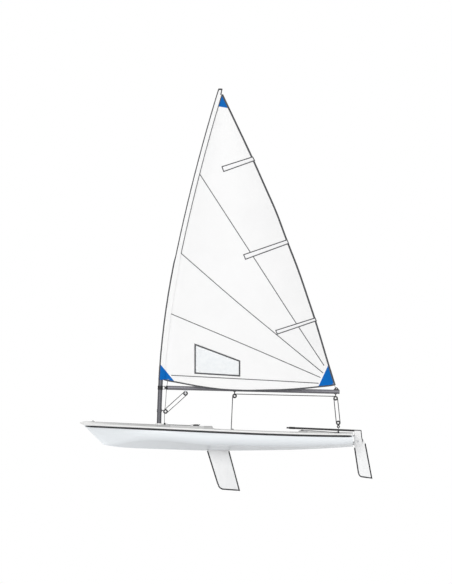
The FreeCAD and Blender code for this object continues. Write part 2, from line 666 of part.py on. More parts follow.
# hiking strap and the plates that hold its ends
STRAP_Z0, STRAP_Z1 = 150.0, 158.0
strap_x0 = TONGUE_X1 + 5.0
strap_x1 = 1206.0
strap = prism_xz([(strap_x0, STRAP_Z0), (760, 141.0), (strap_x1, STRAP_Z1), (strap_x1, STRAP_Z1 + 5),
                  (760, 146.0), (strap_x0, STRAP_Z0 + 5)], -26, 26)
add("hiking_strap", one(strap))
anchor_a = box(TONGUE_X1 - 20, TONGUE_X1 + 5, -34, 34, 138, 168).cut(tongue_plan(0.0, 0, TONGUE_Z))
anchor_b = box(1190, 1240, -34, 34, 140, 176).common(tub_in).cut(box(1180, strap_x1, -60, 60, 100, 200))
add("hiking_strap_anchors", one(anchor_a), one(anchor_b))

# ------------------------------------------------------------------ boom and rig fittings
bx, bz_ = BOOM_X1 - BOOM_X0, BOOM_Z1 - BOOM_Z0
bl = math.hypot(bx, bz_)
bd = (bx / bl, 0, bz_ / bl)


def boom_z(x):
    return BOOM_Z0 + (x - BOOM_X0) * bz_ / bx


b_out = cyl(BOOM_R, (BOOM_X0, 0, BOOM_Z0), bd, bl)
b_in = cyl(BOOM_R - BOOM_WALL, (BOOM_X0, 0, BOOM_Z0), bd, bl)
add("boom", one(b_out.cut(b_in)))
cap_f = cyl(BOOM_R, (BOOM_X0 - 26 * bd[0], 0, BOOM_Z0 - 26 * bd[2]), bd, 26.0).fuse(
    cyl(BOOM_R - BOOM_WALL - 0.5, (BOOM_X0, 0, BOOM_Z0), bd, 40.0)).fuse(
    box(BOOM_X0 - 50, BOOM_X0 - 20, -7, 7, BOOM_Z0 - 16, BOOM_Z0 + 16))
cap_f = cap_f.cut(cyl(5.3, (BOOM_X0 - 42, 0, BOOM_Z0 - 40), (0, 0, 1), 80))
cap_a = cyl(BOOM_R, (BOOM_X1, 0, BOOM_Z1), bd, 8.0).fuse(
    cyl(BOOM_R - BOOM_WALL - 0.5, (BOOM_X1 - 40 * bd[0], 0, BOOM_Z1 - 40 * bd[2]), bd, 40.5))
add("boom_end_caps", one(cap_f), one(cap_a))

# gooseneck: band round the mast with two lugs and an upright pin
gx, gz = mast_at(BOOM_Z0)
band_z0 = BOOM_Z0 - 30
x0, z0 = mast_at(band_z0)
thm = bend1.th + (band_z0 - MAST_Z_DECK) / R_MAST_LOW
mdir = (math.sin(thm), 0, math.cos(thm))
band = cyl(MAST_R_LOWER + 5, (x0, 0, z0), mdir, 60.0)
pin_x = BOOM_X0 - 42
lugs = box(x0, pin_x + 9, -9, 9, BOOM_Z0 + 18, BOOM_Z0 + 26).fuse(box(x0, pin_x + 9, -9, 9, BOOM_Z0 - 26, BOOM_Z0 - 18))
pin = cyl(5.0, (pin_x, 0, BOOM_Z0 - 30), (0, 0, 1), 60.0)
goose = band.fuse(lugs).fuse(pin)
mast_bulk = pipe(low_edges, MAST_R_LOWER + 0.02, foot, (sn, 0, cs))
goose = one(goose.cut(mast_bulk))
add("gooseneck", goose)

# tang on the mast for the vang
VANG_LOW = (-790.0, 0.0, 517.0)
VANG_UP = (-481.0, 0.0, 796.0)
tx, tz = mast_at(532.0)
tang = box(tx, VANG_LOW[0] + 2, -6, 6, 524, 541).fuse(cyl(MAST_R_LOWER + 4, mast_at(506.0)[:1] + (0,) + mast_at(506.0)[1:], mdir, 50.0))
tang = one(tang.cut(mast_bulk))
low_block = sheave_block(*VANG_LOW, 37.0, 26.0)
hang = box(VANG_LOW[0] - 12, VANG_LOW[0] + 2, -13, 13, VANG_LOW[2] + 30, VANG_LOW[2] + 37)
tang = one(tang.cut(cyl(38.0, (VANG_LOW[0], -40, VANG_LOW[2]), (0, 1, 0), 80)))
add("mast_vang_tang", tang)
add("vang_lower_block", one(low_block))

upper_block = sheave_block(*VANG_UP, 37.0, 26.0)
add("vang_upper_block", one(upper_block))
zk = boom_z(VANG_UP[0]) - BOOM_R
key = prism_xz([(VANG_UP[0] - 30, zk - 8), (VANG_UP[0] + 30, zk - 8), (VANG_UP[0] + 30, zk + 12), (VANG_UP[0] - 30, zk + 12)],
               -14, 14)
key = one(key.cut(b_out).cut(cyl(37.5, (VANG_UP[0], -40, VANG_UP[2]), (0, 1, 0), 80)))
key = key.fuse(box(VANG_UP[0] - 8, VANG_UP[0] + 8, -17, -13, VANG_UP[2] - 4, zk)).fuse(
    box(VANG_UP[0] - 8, VANG_UP[0] + 8, 13, 17, VANG_UP[2] - 4, zk))
key = one(key.cut(b_out).cut(cyl(37.5, (VANG_UP[0], -13, VANG_UP[2]), (0, 1, 0), 26)))
add("boom_vang_key", key)

# blocks under the boom, each hung from a strap
def boom_block(x, z, r):
    top = boom_z(x) - BOOM_R
    blk = sheave_block(x, 0.0, z, r, 26.0)
    strap_ = box(x - 8, x + 8, -13, -9, z, top + 4).fuse(box(x - 8, x + 8, 9, 13, z, top + 4))
    strap_ = strap_.fuse(box(x - 22, x + 22, -14, 14, top - 5, top + 12))
    return one(blk.fuse(strap_).cut(b_out))


add("boom_middle_block", boom_block(276.0, 756.0, BLOCK_R))
add("boom_end_block", boom_block(1833.0, 720.0, BLOCK_R))

# clew fairlead: a plate standing on the boom's top
zt = boom_z(1844.0) + BOOM_R
fair = prism_xz([(1802, zt - 12), (1884, zt - 12), (1884, zt + 4), (1856, zt + 38), (1832, zt + 38), (1802, zt + 4)], -6, 6)
fair = fair.cut(cyl(9.0, (1844, -20, zt + 20), (0, 1, 0), 40))
add("clew_fairlead", one(fair.cut(b_out)))
oc = prism_xz([(-300, boom_z(-270) - 4), (-240, boom_z(-270) - 4), (-240, boom_z(-270) + BOOM_R + 6),
               (-250, boom_z(-270) + BOOM_R + 18), (-290, boom_z(-270) + BOOM_R + 18), (-300, boom_z(-270) + BOOM_R + 6)], -10, 10)
oc = oc.cut(box(-320, -220, -2.5, 2.5, boom_z(-270) + BOOM_R + 6, boom_z(-270) + BOOM_R + 40))
oc = oc.cut(b_out)
add("outhaul_cleat", max(oc.Solids, key=lambda s: s.CenterOfMass.z))

# ------------------------------------------------------------------ sail
# Horizontal sections: columns z, x at the mast, x at the leech, draft (to port),
# leech offset (to port).  Each section is one arc.
SAIL = [
    (790.0,  -868.0, 1900.0, 205.0,   0.0),
    (1600.0, -822.0, 1640.0, 225.0,  25.0),
    (2600.0, -671.0, 1310.0, 200.0,  70.0),
    (3600.0, -456.0,  930.0, 150.0,  95.0),
    (4600.0, -197.0,  500.0,  85.0,  80.0),
    (5520.0,   60.0,  110.0,  20.0,  12.0),
]


def sail_section(z, x0, x1, d, tw):
    xm = x0 + 0.46 * (x1 - x0)
    h = SAIL_T / 2
    a = arc3((x0, -h, z), (xm, -d - tw / 2 - h, z), (x1, -tw - h, z))
    b = arc3((x1, -tw + h, z), (xm, -d - tw / 2 + h, z), (x0, h, z))
    return Part.Wire([a, line((x1, -tw - h, z), (x1, -tw + h, z)), b, line((x0, h, z), (x0, -h, z))])


slab = one(Part.makeLoft([sail_section(*r) for r in SAIL], True, False))
print("sail slab", slab.isValid())
LEECH = [(97, 5412), (194, 5206), (551, 4449), (768, 3963), (930, 3594), (1092, 3161), (1243, 2773), (1325, 2544),
         (1428, 2236), (1520, 1961), (1733, 1254), (1835, 924)]
FOOT = [(1835, 924), (1772, 908), (1551, 884), (1300, 860), (985, 840), (822, 837), (436, 830), (76, 848), (-239, 888),
        (-506, 936), (-640, 961)]
LUFF_Z = [1008.0, 1300.0, 1700.0, 2100.0, 2500.0, 2850.0]
LUFF_Z2 = [2850.0, 3300.0, 3800.0, 4300.0, 4800.0, 5200.0, 5400.0]
pts = list(LEECH) + FOOT[1:]
pts += [mast_at(zz, MAST_R_LOWER + 1.0) for zz in LUFF_Z]
pts += [mast_at(zz, MAST_R_UPPER + 1.0) for zz in LUFF_Z2]
pts += [mast_at(5440.0, MAST_R_UPPER + 1.0)]
sail_prism = prism_xz(pts, -500, 100)
sail_all = one(slab.common(sail_prism))

WINDOW = [(-333, 1550), (352, 1294), (352, 1066), (-333, 1109)]
BATTENS = [
    [(82, 4291), (551, 4449 - 4), (576, 4394), (108, 4217)],
    [(416, 2934), (1080, 3161), (1100, 3110), (443, 2864)],
    [(910, 1766), (1512, 1958), (1530, 1918), (934, 1710)],
]


def narrowed(q, w):
    """A batten strip w wide down the middle of its pocket."""
    a = ((q[0][0] + q[3][0]) / 2, (q[0][1] + q[3][1]) / 2)
    b = ((q[1][0] + q[2][0]) / 2, (q[1][1] + q[2][1]) / 2)
    n = math.hypot(b[0] - a[0], b[1] - a[1])
    u = ((b[0] - a[0]) / n, (b[1] - a[1]) / n)
    m = (-u[1] * w / 2, u[0] * w / 2)
    a2 = (a[0] + u[0] * 14, a[1] + u[1] * 14)
    b2 = (b[0] - u[0] * 22, b[1] - u[1] * 22)
    return [(a2[0] + m[0], a2[1] + m[1]), (b2[0] + m[0], b2[1] + m[1]),
            (b2[0] - m[0], b2[1] - m[1]), (a2[0] - m[0], a2[1] - m[1])]


wp = prism_xz(WINDOW, -500, 100)
bps = [prism_xz(narrowed(q, 36.0), -500, 100) for q in BATTENS]
window = one(sail_all.common(wp))
battens = [one(sail_all.common(b)) for b in bps]
sail = sail_all.cut(wp)
for b in bps:
    sail = sail.cut(b)
add("sail", one(sail))
add("sail_window", window)
add("sail_battens", *battens)
print("sail", sail.isValid(), len(sail.Solids))

# ------------------------------------------------------------------ rudder
RH = RUDDER_HEAD_T / 2
px, pz = BLADE_PIVOT
profile = [(HINGE_X + 3, -14.0), (2216.0, -14.0), (2256.0, 60.0), (2242.0, 123.0), (2231.0, 231.5), (HINGE_X + 3, 235.7)]
rh = prism_xz(profile, -RH, RH)
# chamfered front so that it can swing past the transom
for s in (1, -1):
    rh = rh.cut(Part.Face(wire([(HINGE_X + 2, s * (RH + 1), -40), (HINGE_X + 2, s * 9.0, -40), (HINGE_X + 15, s * (RH + 1), -40)])
                          ).extrude(V(0, 0, 320)))
# space for the blade between the cheeks, open below and aft
gap = BLADE_T / 2 + 1.5
rh = rh.cut(box(HINGE_X + 14, 2300, -gap, gap, -40, 191.0))
# seat for the tiller
td = V(TILLER_B[0] - TILLER_A[0], 0, TILLER_B[1] - TILLER_A[1])
tl = td.Length
td.normalize()
tiller_end = V(TILLER_B[0] - 6, 0, TILLER_B[1])
t_solid = Part.makeCylinder(TILLER_R, tl - 6, V(TILLER_A[0], 0, TILLER_A[1]), td)
rh = rh.cut(t_solid)
# notches that clear the gudgeons through the whole swing
for gz in GUDGEONS:
    rh = rh.cut(cyl(RING_R + 5.0, (HINGE_X, 0, gz - 6), (0, 0, 1), RING_H + 7.0))
rh = rh.cut(cyl(6.4, (px, -40, pz), (0, 1, 0), 80))
rh = one(rh)
add("rudder_head", rh)
pins = []
for gz in GUDGEONS:
    lug = cyl(7.5, (HINGE_X, 0, gz + RING_H + 1.0), (0, 0, 1), 9.0)
    lug = lug.fuse(box(HINGE_X, HINGE_X + 5, -7, 7, gz + RING_H + 1.0, gz + RING_H + 10.0))
    lug = one(lug.fuse(cyl(PIN_R, (HINGE_X, 0, gz - 3.0), (0, 0, 1), RING_H + 8.0)).cut(rh))
    pins.append(lug)
add("rudder_pintles", *pins)
bolt = cyl(6.0, (px, -RH - 2, pz), (0, 1, 0), RUDDER_HEAD_T + 4).fuse(cyl(13.0, (px, -RH - 6, pz), (0, 1, 0), 6.0)).fuse(
    cyl(13.0, (px, RH, pz), (0, 1, 0), 6.0))
add("rudder_pivot_bolt", one(bolt))
t_hollow = t_solid.cut(Part.makeCylinder(TILLER_R - 2, tl - 6, V(TILLER_A[0], 0, TILLER_A[1]), td))
add("tiller", one(t_hollow))

# front end fitting of the tiller, a moulded grip that ends in the hinge of the extension
nrm = V(-td.z, 0, td.x)                       # square to the tiller, upward
front = V(TILLER_A[0], 0, TILLER_A[1])
joint_len = TILLER_A[0] - EXT_PIVOT_X
pivot_p = front - td * joint_len
EXT_PIVOT_Y = EXT_Y / 2


def local_box(x0, x1, y0, y1, z0, z1):
    """Box in the tiller's own frame: x along the tiller from the pivot."""
    b = box(x0, x1, y0, y1, z0, z1)
    ang = math.degrees(math.atan2(td.z, td.x))
    b.rotate(V(0, 0, 0), V(0, 1, 0), -ang)
    b.translate(pivot_p)
    return b


def local_cyl(r, p, d, h):
    b = Part.makeCylinder(r, h, V(*p), V(*d))
    ang = math.degrees(math.atan2(td.z, td.x))
    b.rotate(V(0, 0, 0), V(0, 1, 0), -ang)
    b.translate(pivot_p)
    return b


# clevis: two flat ears above and below the extension's eye
grip = local_cyl(17.0, (30, 0, 0), (1, 0, 0), joint_len - 30)
for z0, z1 in ((-12.0, -6.5), (6.5, 12.0)):
    ear = local_cyl(11.0, (0, EXT_PIVOT_Y, z0), (0, 0, 1), z1 - z0)
    grip = grip.fuse(ear).fuse(local_box(0, 34, EXT_PIVOT_Y - 14, EXT_PIVOT_Y + 3, z0, z1))
grip = grip.fuse(local_cyl(3.5, (0, EXT_PIVOT_Y, -12), (0, 0, 1), 24))
grip = grip.fuse(local_cyl(TILLER_R - 2.5, (joint_len, 0, 0), (1, 0, 0), 60))
add("tiller_joint", one(grip))

# extension: folded back beside the tiller, turns about the clevis pin
e_eye = local_cyl(8.5, (0, EXT_PIVOT_Y, -6.0), (0, 0, 1), 12.0)
e_arm = local_box(0, 60, EXT_Y - 6, EXT_Y + 6, -5.5, 5.5)
nk = (30.0, EXT_Y - EXT_PIVOT_Y)
nl = math.hypot(*nk)
e_neck = local_cyl(5.5, (0, EXT_PIVOT_Y, 0), (nk[0] / nl, nk[1] / nl, 0), nl - 1)
e_tube = local_cyl(EXT_R, (40, EXT_Y, 0), (1, 0, 0), EXT_LENGTH - 40)
e_tube = e_tube.fuse(e_arm.cut(local_box(-5, 24, -60, 60, -20, 20))).fuse(e_neck).fuse(e_eye)
e_tube = e_tube.cut(local_cyl(3.8, (0, EXT_PIVOT_Y, -20), (0, 0, 1), 40))
e_tube = e_tube.cut(local_cyl(EXT_R + 5, (EXT_LENGTH - 200, EXT_Y, 0), (1, 0, 0), 300).cut(
    local_cyl(EXT_R - 0.01, (EXT_LENGTH - 200, EXT_Y, 0), (1, 0, 0), 300)))
add("tiller_extension", one(e_tube))
g2 = local_cyl(EXT_R + 4, (EXT_LENGTH - 200, EXT_Y, 0), (1, 0, 0), 198).cut(
    local_cyl(EXT_R + 0.05, (EXT_LENGTH - 210, EXT_Y, 0), (1, 0, 0), 220))
add("tiller_extension_grip", one(g2))
pv = pivot_p + V(0, EXT_PIVOT_Y, 0)
print("extension pivot", [round(c, 2) for c in pv], "axis", [round(c, 5) for c in nrm])

# blade: foil loft cut to its outline; a plain rounded top turns between the cheeks
R_TOP = 45.0
bl_top, bl_bot = 20.0, -560.0
BL_LE = ((2116.0, -40.0), (2177.0, -443.0))
BL_TE = ((2296.0, 40.0), (2404.0, -526.0))
foil = Part.makeLoft([foil_wire(2136.0, on_line(*BL_TE, 40.0), BLADE_T, 60.0),
                      foil_wire(on_line(*BL_LE, -40.0), on_line(*BL_TE, -40.0), BLADE_T, -40.0)], True, True)
foil2 = Part.makeLoft([foil_wire(on_line(*BL_LE, -40.0), on_line(*BL_TE, -40.0), BLADE_T, -40.0),
                       foil_wire(on_line(*BL_LE, -560.0), on_line(*BL_TE, -560.0), BLADE_T - 6, -560.0)], True, True)
TIP = [(2050.0, -20.0), (2050.0, -430.0), (2175.0, -436.0), (2184.0, -462.0), (2200.0, -484.0), (2228.0, -498.0),
       (2404.0, -526.0), (2500.0, -526.0), (2500.0, -20.0)]
low = foil2.common(prism_xz([(2050.0, -40.0)] + TIP[1:-1] + [(2500.0, -40.0)], -60, 60))
disc = cyl(R_TOP, (px, -BLADE_T / 2, pz), (0, 1, 0), BLADE_T)
neck = prism_xz([(px - R_TOP + 2, pz - 10), (HINGE_X + 20, -18.0), (2116.0, -40.0), (on_line(*BL_TE, -40.0), -40.0),
                 (2296.0, 40.0), (2242.0, 104.0), (px, pz + R_TOP - 4)], -BLADE_T / 2, BLADE_T / 2)
# thin the aft edge of the neck
wedge = []
for s in (1, -1):
    a = on_line(*BL_TE, -40.0)
    f = Part.Face(wire([(2205.0, s * (BLADE_T / 2 + 0.01), 140.0), (2310.0, s * 1.0, 140.0), (2330.0, s * 30, 140.0), (2205.0, s * 30, 140.0)]))
    wedge.append(f.extrude(V(0, 0, -180)))
neck = neck.cut(wedge[0]).cut(wedge[1])
blade = one(disc.fuse(neck).fuse(low))
blade = one(blade.cut(cyl(6.4, (px, -40, pz), (0, 1, 0), 80)))
add("rudder_blade", blade)

# ------------------------------------------------------------------ export
for name in sorted(PARTS):
    s = PARTS[name]
    s.exportStep("parts/%s.step" % name)
    bb = s.BoundBox
    print("%-26s valid=%s solids=%d vol=%.0f cm3  x %.0f..%.0f y %.0f..%.0f z %.0f..%.0f" % (
        name, s.isValid(), len(s.Solids), s.Volume / 1000, bb.XMin, bb.XMax, bb.YMin, bb.YMax, bb.ZMin, bb.ZMax))
print("bow eye z", round(BOW_EYE_Z, 2), "traveller eye z", round(TRAV_EYE_Z, 2))
print(len(PARTS), "nodes; mast turning axis through x", round(mast_axis(0), 2), "z 0 dir", [round(c, 5) for c in mast_dir])
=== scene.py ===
import bpy, json, math
from mathutils import Vector, Matrix
from mathutils.bvhtree import BVHTree
from mathutils.geometry import delaunay_2d_cdt

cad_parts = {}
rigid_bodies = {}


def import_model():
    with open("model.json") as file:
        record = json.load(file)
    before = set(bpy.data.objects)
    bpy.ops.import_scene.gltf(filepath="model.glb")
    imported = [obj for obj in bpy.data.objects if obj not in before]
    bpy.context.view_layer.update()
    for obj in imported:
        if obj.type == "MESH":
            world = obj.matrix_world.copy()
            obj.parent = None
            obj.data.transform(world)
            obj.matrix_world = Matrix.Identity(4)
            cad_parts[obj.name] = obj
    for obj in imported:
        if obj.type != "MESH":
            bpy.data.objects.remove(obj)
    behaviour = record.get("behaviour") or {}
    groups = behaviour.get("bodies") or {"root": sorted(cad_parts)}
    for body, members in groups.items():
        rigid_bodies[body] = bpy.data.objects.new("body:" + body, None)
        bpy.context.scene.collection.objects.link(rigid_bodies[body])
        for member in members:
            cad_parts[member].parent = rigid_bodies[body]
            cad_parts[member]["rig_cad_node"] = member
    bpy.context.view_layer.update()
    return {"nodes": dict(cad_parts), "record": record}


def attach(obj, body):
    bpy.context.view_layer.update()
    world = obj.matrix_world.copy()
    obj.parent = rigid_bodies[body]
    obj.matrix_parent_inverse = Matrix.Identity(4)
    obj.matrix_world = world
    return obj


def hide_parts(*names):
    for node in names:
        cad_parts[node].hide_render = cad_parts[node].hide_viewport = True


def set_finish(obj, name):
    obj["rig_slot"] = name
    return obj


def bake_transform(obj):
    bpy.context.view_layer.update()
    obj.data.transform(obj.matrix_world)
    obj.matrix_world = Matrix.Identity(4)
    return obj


# Looks of a single-handed sailing dinghy, in metres.  X runs aft, Y to starboard, Z up.
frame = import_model()
N = frame["nodes"]
MM = 0.001
PI = math.pi


# ------------------------------------------------------------------ node material helpers
class Mat:
    """A procedural material: small helpers around one node tree."""

    def __init__(self, name):
        self.m = bpy.data.materials.new(name)
        self.m.use_nodes = True
        self.t = self.m.node_tree
        self.p = self.t.nodes["Principled BSDF"]
        self.coord = self.t.nodes.new("ShaderNodeTexCoord")

    def new(self, kind, **props):
        n = self.t.nodes.new(kind)
        for k, v in props.items():
            setattr(n, k, v)
        return n

    def link(self, a, b):
        self.t.links.new(a, b)

    def put(self, socket, v):
        if isinstance(v, bpy.types.NodeSocket):
            self.link(v, socket)
        else:
            socket.default_value = v

    def scaled(self, s, src="Object"):
        n = self.new("ShaderNodeMapping")
        n.inputs["Scale"].default_value = s if isinstance(s, (tuple, list)) else (s, s, s)
        self.link(self.coord.outputs[src], n.inputs["Vector"])
        return n.outputs["Vector"]

    def noise(self, scale, detail=3.0, rough=0.5, stretch=(1, 1, 1), src="Object"):
        n = self.new("ShaderNodeTexNoise")
        self.link(self.scaled(stretch, src), n.inputs["Vector"])
        n.inputs["Scale"].default_value = scale
        n.inputs["Detail"].default_value = detail
        n.inputs["Roughness"].default_value = rough
        return n.outputs["Fac"]

    def voronoi(self, scale, feature="F1", stretch=(1, 1, 1), src="Object"):
        n = self.new("ShaderNodeTexVoronoi", feature=feature)
        self.link(self.scaled(stretch, src), n.inputs["Vector"])
        n.inputs["Scale"].default_value = scale
        return n.outputs["Distance"]

    def math(self, op, a, b=0.0, c=0.0, clamp=False):
        n = self.new("ShaderNodeMath", operation=op, use_clamp=clamp)
        for i, v in enumerate((a, b, c)):
            if i < len(n.inputs):
                self.put(n.inputs[i], v)
        return n.outputs[0]

    def remap(self, v, a, b, c, d):
        n = self.new("ShaderNodeMapRange")
        for k, x in zip(("From Min", "From Max", "To Min", "To Max"), (a, b, c, d)):
            n.inputs[k].default_value = x
        self.put(n.inputs["Value"], v)
        return n.outputs["Result"]

    def mix(self, fac, a, b):
        n = self.new("ShaderNodeMix", data_type="RGBA")
        self.put(n.inputs[0], fac)
        for s, v in ((n.inputs[6], a), (n.inputs[7], b)):
            if isinstance(v, bpy.types.NodeSocket):
                self.link(v, s)
            else:
                s.default_value = (*v, 1.0)
        return n.outputs[2]

    def xyz(self, src="Object"):
        n = self.new("ShaderNodeSeparateXYZ")
        self.link(self.coord.outputs[src], n.inputs[0])
        return n.outputs

    def bump(self, height, strength, dist, normal=None):
        n = self.new("ShaderNodeBump")
        n.inputs["Strength"].default_value = strength
        n.inputs["Distance"].default_value = dist
        self.link(height, n.inputs["Height"])
        if normal is not None:
            self.link(normal, n.inputs["Normal"])
        return n.outputs["Normal"]

    def fin(self, color=None, rough=None, normal=None, **const):
        if color is not None:
            if isinstance(color, bpy.types.NodeSocket):
                self.link(color, self.p.inputs["Base Color"])
            else:
                self.p.inputs["Base Color"].default_value = (*color, 1.0)
        if rough is not None:
            self.put(self.p.inputs["Roughness"], rough)
        if normal is not None:
            self.link(normal, self.p.inputs["Normal"])
        for k, v in const.items():
            self.p.inputs[k.replace("_", " ")].default_value = v
        return self.m


def lin(r, g, b):
    return tuple(((c / 255 + 0.055) / 1.055) ** 2.4 if c > 10 else c / 255 / 12.92 for c in (r, g, b))


def gelcoat(name, base, nonslip=False):
    k = Mat(name)
    tone = k.noise(1.3, 3, 0.5)
    dark = tuple(c * 0.95 for c in base)
    col = k.mix(k.remap(tone, 0.35, 0.7, 0.0, 1.0), base, tuple(c * 0.985 for c in base))
    # faint rub marks that run fore and aft
    marks = k.noise(9, 4, 0.6, (0.10, 1.0, 2.2))
    col = k.mix(k.remap(marks, 0.60, 0.80, 0.0, 0.35), col, dark)
    rough = k.math("ADD", k.remap(k.noise(3.0, 2, 0.5), 0.3, 0.7, 0.20, 0.26), k.remap(marks, 0.60, 0.80, 0.0, 0.05))
    peel = k.bump(k.noise(42, 1, 0.4), 0.02, 0.001)
    if nonslip:
        x, y, z = k.xyz()[0:3]
        ay = k.math("ABSOLUTE", y)

        def edge(c0, c1, c2):
            # c0 + c1 x + c2 x x
            return k.math("ADD", k.math("MULTIPLY", x, k.math("ADD", k.math("MULTIPLY", x, c2), c1)), c0)

        def panel(x0, x1, y0, y1, r=0.03):
            # rounded field of non-slip between x0 and x1, and between the inner and the outer edge
            d = k.math("MINIMUM", k.math("SUBTRACT", x, x0), k.math("SUBTRACT", x1, x))
            e = k.math("MINIMUM", k.math("SUBTRACT", ay, y0), k.math("SUBTRACT", y1, ay))
            u, v = [k.math("MAXIMUM", k.math("SUBTRACT", r, q), 0.0) for q in (d, e)]
            far = k.math("SQRT", k.math("ADD", k.math("MULTIPLY", u, u), k.math("MULTIPLY", v, v)))
            return k.remap(k.math("SUBTRACT", r, far), 0.0, 0.004, 0.0, 1.0)

        pan = k.math("MAXIMUM", panel(0.06, 1.13, edge(0.333, -0.051, 0.0), edge(0.608, 0.030, -0.0506)),
                     panel(-0.72, -0.20, edge(0.13, 0.0, 0.0), edge(0.600, -0.02, -0.115)))
        pan = k.math("MAXIMUM", pan, panel(1.40, 1.80, edge(0.055, 0.0, 0.0), edge(0.70, -0.10, 0.0)))
        # the cockpit floor's own field
        low = k.remap(z, 0.034, 0.038, 1.0, 0.0)
        pan = k.math("MAXIMUM", pan, k.math("MULTIPLY", low, panel(0.36, 1.08, edge(-1.0, 0.0, 0.0), edge(0.178, -0.03, 0.0))))
        grain = k.voronoi(190, "F1")
        g = k.math("MULTIPLY", k.remap(grain, 0.0, 0.6, 1.0, 0.0), pan)
        col = k.mix(k.math("MULTIPLY", pan, 0.85), col, tuple(c * 0.86 for c in base))
        rough = k.math("ADD", rough, k.math("MULTIPLY", pan, 0.36), clamp=True)
        peel = k.bump(g, 0.6, 0.0012, peel)
    return k.fin(col, rough, peel, Coat_Weight=0.22, Coat_Roughness=0.10, IOR=1.5)


M_HULL = gelcoat("hull_gelcoat_fine", lin(245, 249, 252))
M_DECK = gelcoat("deck_gelcoat_fine", lin(238, 238, 237), True)


def foil_mat(name="foil_paint", edged=False):
    k = Mat(name)
    streak = k.noise(24, 4, 0.6, (1.0, 1.0, 0.14))
    col = k.mix(k.remap(streak, 0.45, 0.75, 0.0, 0.5), lin(242, 242, 242), lin(230, 231, 232))
    worn = k.noise(9, 4, 0.6)
    rough = k.remap(worn, 0.3, 0.7, 0.24, 0.42)
    if edged:
        # dark edging along the rudder head's top and its aft side, in line with the blade's guard strip
        x, y, z = k.xyz()[0:3]

        def inward(p, q):
            # distance in metres from the line p to q (mm), positive towards the hinge
            dx, dz = q[0] - p[0], q[1] - p[1]
            n = math.hypot(dx, dz)
            a = k.math("MULTIPLY", k.math("SUBTRACT", z, p[1] * MM), dx / n)
            b = k.math("MULTIPLY", k.math("SUBTRACT", x, p[0] * MM), dz / n)
            return k.math("SUBTRACT", b, a)

        aft = k.math("MAXIMUM", inward((2231.0, 231.5), (2242.0, 123.0)), inward((2242.0, 123.0), (2256.0, 60.0)))
        d = k.math("MINIMUM", aft, inward((2117.0, 235.7), (2231.0, 231.5)))
        on_edge = k.remap(d, 0.0135, 0.0150, 1.0, 0.0)
        col = k.mix(on_edge, col, (0.018, 0.018, 0.021))
        rough = k.math("ADD", rough, k.math("MULTIPLY", on_edge, 0.24), clamp=True)
    return k.fin(col, rough, k.bump(k.noise(120, 2, 0.5), 0.05, 0.0005), Coat_Weight=0.15)


def metal(name, base, r0, r1, metallic, stretch, wear=0.3):
    k = Mat(name)
    grain = k.noise(90, 3, 0.6, stretch)
    scuff = k.noise(14, 5, 0.7)
    col = k.mix(k.remap(scuff, 0.58, 0.72, 0.0, wear), base, tuple(min(1, c * 1.35) for c in base))
    rough = k.remap(grain, 0.3, 0.7, r0, r1)
    return k.fin(col, rough, k.bump(grain, 0.12, 0.0004), Metallic=metallic, Anisotropic=0.4)


def plastic(name, base, grain=520, r0=0.42, r1=0.58, strength=0.25):
    k = Mat(name)
    worn = k.noise(26, 4, 0.65)
    col = k.mix(k.remap(worn, 0.60, 0.76, 0.0, 0.5), base, tuple(c * 1.9 + 0.012 for c in base))
    rough = k.remap(k.noise(60, 3, 0.6), 0.3, 0.7, r0, r1)
    return k.fin(col, rough, k.bump(k.noise(grain, 2, 0.5), strength, 0.0004))


M_FOIL = foil_mat()
M_HEAD = foil_mat("foil_paint_edged", True)
M_SPAR = metal("spar_anodised", lin(106, 106, 111), 0.36, 0.48, 0.65, (1.0, 1.0, 0.03))
M_BOOM = metal("boom_anodised", lin(126, 125, 131), 0.36, 0.48, 0.65, (0.03, 1.0, 1.0))
M_STEEL = metal("steel_brushed", lin(172, 173, 176), 0.22, 0.36, 1.0, (0.2, 1.0, 1.0), 0.15)
M_BLACK = plastic("plastic_black", (0.012, 0.012, 0.014))
M_TILLER = plastic("tiller_satin", (0.010, 0.010, 0.012), 300, 0.30, 0.42, 0.12)
M_HUB = plastic("hub_white", lin(238, 238, 238), 420, 0.35, 0.5, 0.15)
M_BEAD = plastic("bead_rubber", (0.018, 0.018, 0.021), 240, 0.55, 0.7, 0.3)


def rubber_grip():
    k = Mat("grip_rubber")
    x = k.xyz()[0]
    ribs = k.math("SINE", k.math("MULTIPLY", x, 2 * PI / 0.007))
    rough = k.remap(k.noise(80, 3, 0.6), 0.3, 0.7, 0.68, 0.86)
    nrm = k.bump(k.noise(420, 2, 0.5), 0.3, 0.0005, k.bump(ribs, 0.6, 0.0014))
    return k.fin(k.mix(k.remap(k.noise(20), 0.55, 0.75, 0, 0.4), (0.012, 0.012, 0.013), (0.035, 0.034, 0.033)), rough, nrm)


M_GRIP = rubber_grip()


